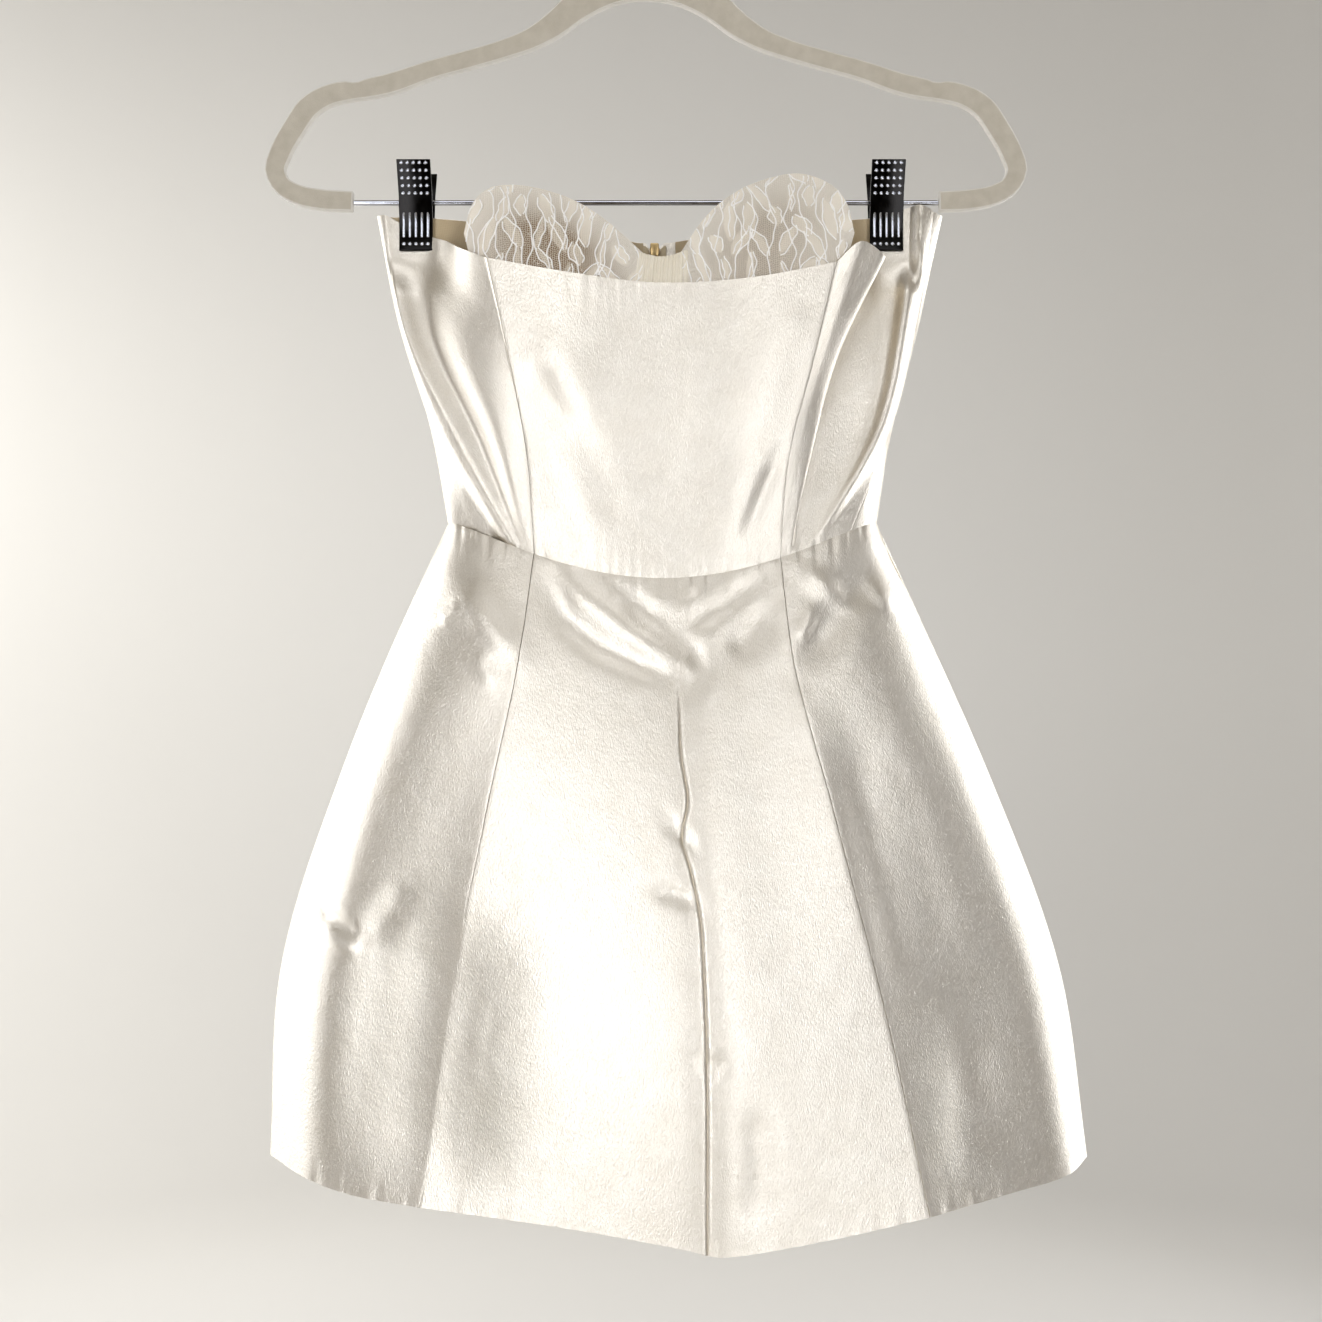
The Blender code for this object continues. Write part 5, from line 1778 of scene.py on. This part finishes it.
def lace_material():
    """Ivory net over a nude foam cup: closed leaves are pale, the open net shows the nude, turned
    brown by painted shade in each cup's middle.
    """
    material, shader = new_material("leaf_lace")
    uv = add_node(material, "ShaderNodeTexCoord").outputs["UV"]
    # Meshes of the net are 1.25 mm across.
    net = add_node(
        material, "ShaderNodeTexVoronoi",
        {"feature": "DISTANCE_TO_EDGE", "Scale": 800.0, "Randomness": 0.4}, {"Vector": uv},
    )
    thread = spread(material, net.outputs["Distance"], 0.04, 0.16, 1.0, 0.0)
    weave = add_node(
        material, "ShaderNodeTexWave", {"Scale": 420.0, "Distortion": 1.5}, {"Vector": uv},
    )
    leaf, below = (
        add_node(material, "ShaderNodeAttribute", {"attribute_name": name}).outputs["Fac"]
        for name in ("leaf", "painted_shade")
    )
    # The ground runs from the foam's pale colour to a brown of painted shade.
    ground = mixed(material, below, "#efe5d2", "#7f6340")
    net_colour = mixed(material, thread, ground, "#dfd3bd")
    leaf_colour = mixed(material, weave.outputs["Fac"], "#dccfb6", "#ebe1cd")
    # The leaves are only a little closer than the net, so half of the ground shows in them.
    closeness = add_node(
        material, "ShaderNodeMath", {"operation": "MULTIPLY", 1: 0.45}, {0: leaf}
    ).outputs["Value"]
    colour = mixed(material, closeness, net_colour, leaf_colour)
    link(material, colour, shader.inputs["Base Color"])
    height = maths(material, "MAXIMUM", thread, leaf)
    link(material, bump(material, height, 0.7, 0.0004), shader.inputs["Normal"])
    shader.inputs["Roughness"].default_value = 0.75
    return material


def cord_material():
    """Twisted lace cord: matt, pale, with a fine twist across it."""
    material, shader = new_material("lace_cord")
    spot = add_node(material, "ShaderNodeTexCoord").outputs["Object"]
    # The cord's twist is 0.6 mm long.
    twist = noise(material, spot, 1700.0, 1.0)
    link(material, mixed(material, twist, "#f0e8da", "#fffcf4"), shader.inputs["Base Color"])
    link(material, bump(material, twist, 0.4, 0.0002), shader.inputs["Normal"])
    shader.inputs["Roughness"].default_value = 0.6
    return material


def velvet_material(name, low, high):
    """Flocked velvet on a moulded hanger: matt and mottled. A lighter copy on the rim is painted
    highlight along its edges.
    """
    material, shader = new_material(name)
    spot = add_node(material, "ShaderNodeTexCoord").outputs["Object"]
    # Patches of nap lie 6 mm apart; the flock itself is drawn 0.7 mm coarse.
    patches = noise(material, spot, 160.0, 4.0)
    flock = noise(material, spot, 1400.0, 2.0)
    link(material, mixed(material, patches, low, high), shader.inputs["Base Color"])
    link(material, bump(material, flock, 0.5, 0.0003), shader.inputs["Normal"])
    shader.inputs["Roughness"].default_value = 0.95
    shader.inputs["Sheen Weight"].default_value = 0.35
    shader.inputs["Sheen Roughness"].default_value = 0.45
    return material


def metal_material(name, low, high, roughness):
    """Plated steel: mirror-like, with the faint haze that handling leaves."""
    material, shader = new_material(name)
    spot = add_node(material, "ShaderNodeTexCoord").outputs["Object"]
    # Smudges are about 5 mm across.
    haze = noise(material, spot, 200.0, 3.0)
    link(material, mixed(material, haze, low, high), shader.inputs["Base Color"])
    rough = spread(material, haze, 0.3, 0.7, roughness * 0.7, roughness * 1.4)
    link(material, rough, shader.inputs["Roughness"])
    shader.inputs["Metallic"].default_value = 1.0
    return material


def main():
    build_camera()
    build_stage()
    build_lights()
    satin = satin_material()
    lining = woven_material("gold_lining", "#a8916a", "#c4ae86", 900.0, 0.45)
    lace = lace_material()
    cord = cord_material()
    gore = woven_material("cream_gore", "#dccfb2", "#f0e6d0", 700.0, 0.4)
    tape = woven_material("zip_tape_weave", "#b59f78", "#d6c6a4", 1100.0, 0.7)
    zip_metal = metal_material("brass_zip", "#a88c5c", "#c9ae7c", 0.3)
    velvet = velvet_material("greige_velvet", "#aca18c", "#c6bca8")
    # The lighter copy of the velvet is painted highlight for the hanger's rim.
    rim_highlight_velvet = velvet_material("velvet_rim_painted_highlight", "#c6beae", "#d8d1c3")
    # The bright chrome is the rod's, hook's and spring's own finish, and painted highlight on the
    # clips' domes and ribs.
    chrome_and_stud_highlight = metal_material("bright_chrome_and_stud_highlight", "#b9b9bd", "#d4d4d6", 0.14)
    dark_chrome = metal_material("black_chrome", "#121110", "#242220", 0.18)
    rings = build_dress(satin)
    panels, steps = rings[True]
    build_cups(panels, steps, lace, cord, gore)
    build_lining(panels, steps, lining)
    build_zip(rings, tape, zip_metal)
    build_slider(zip_metal)
    build_hanger(velvet, rim_highlight_velvet, chrome_and_stud_highlight)
    build_clips(dark_chrome, chrome_and_stud_highlight)


main()
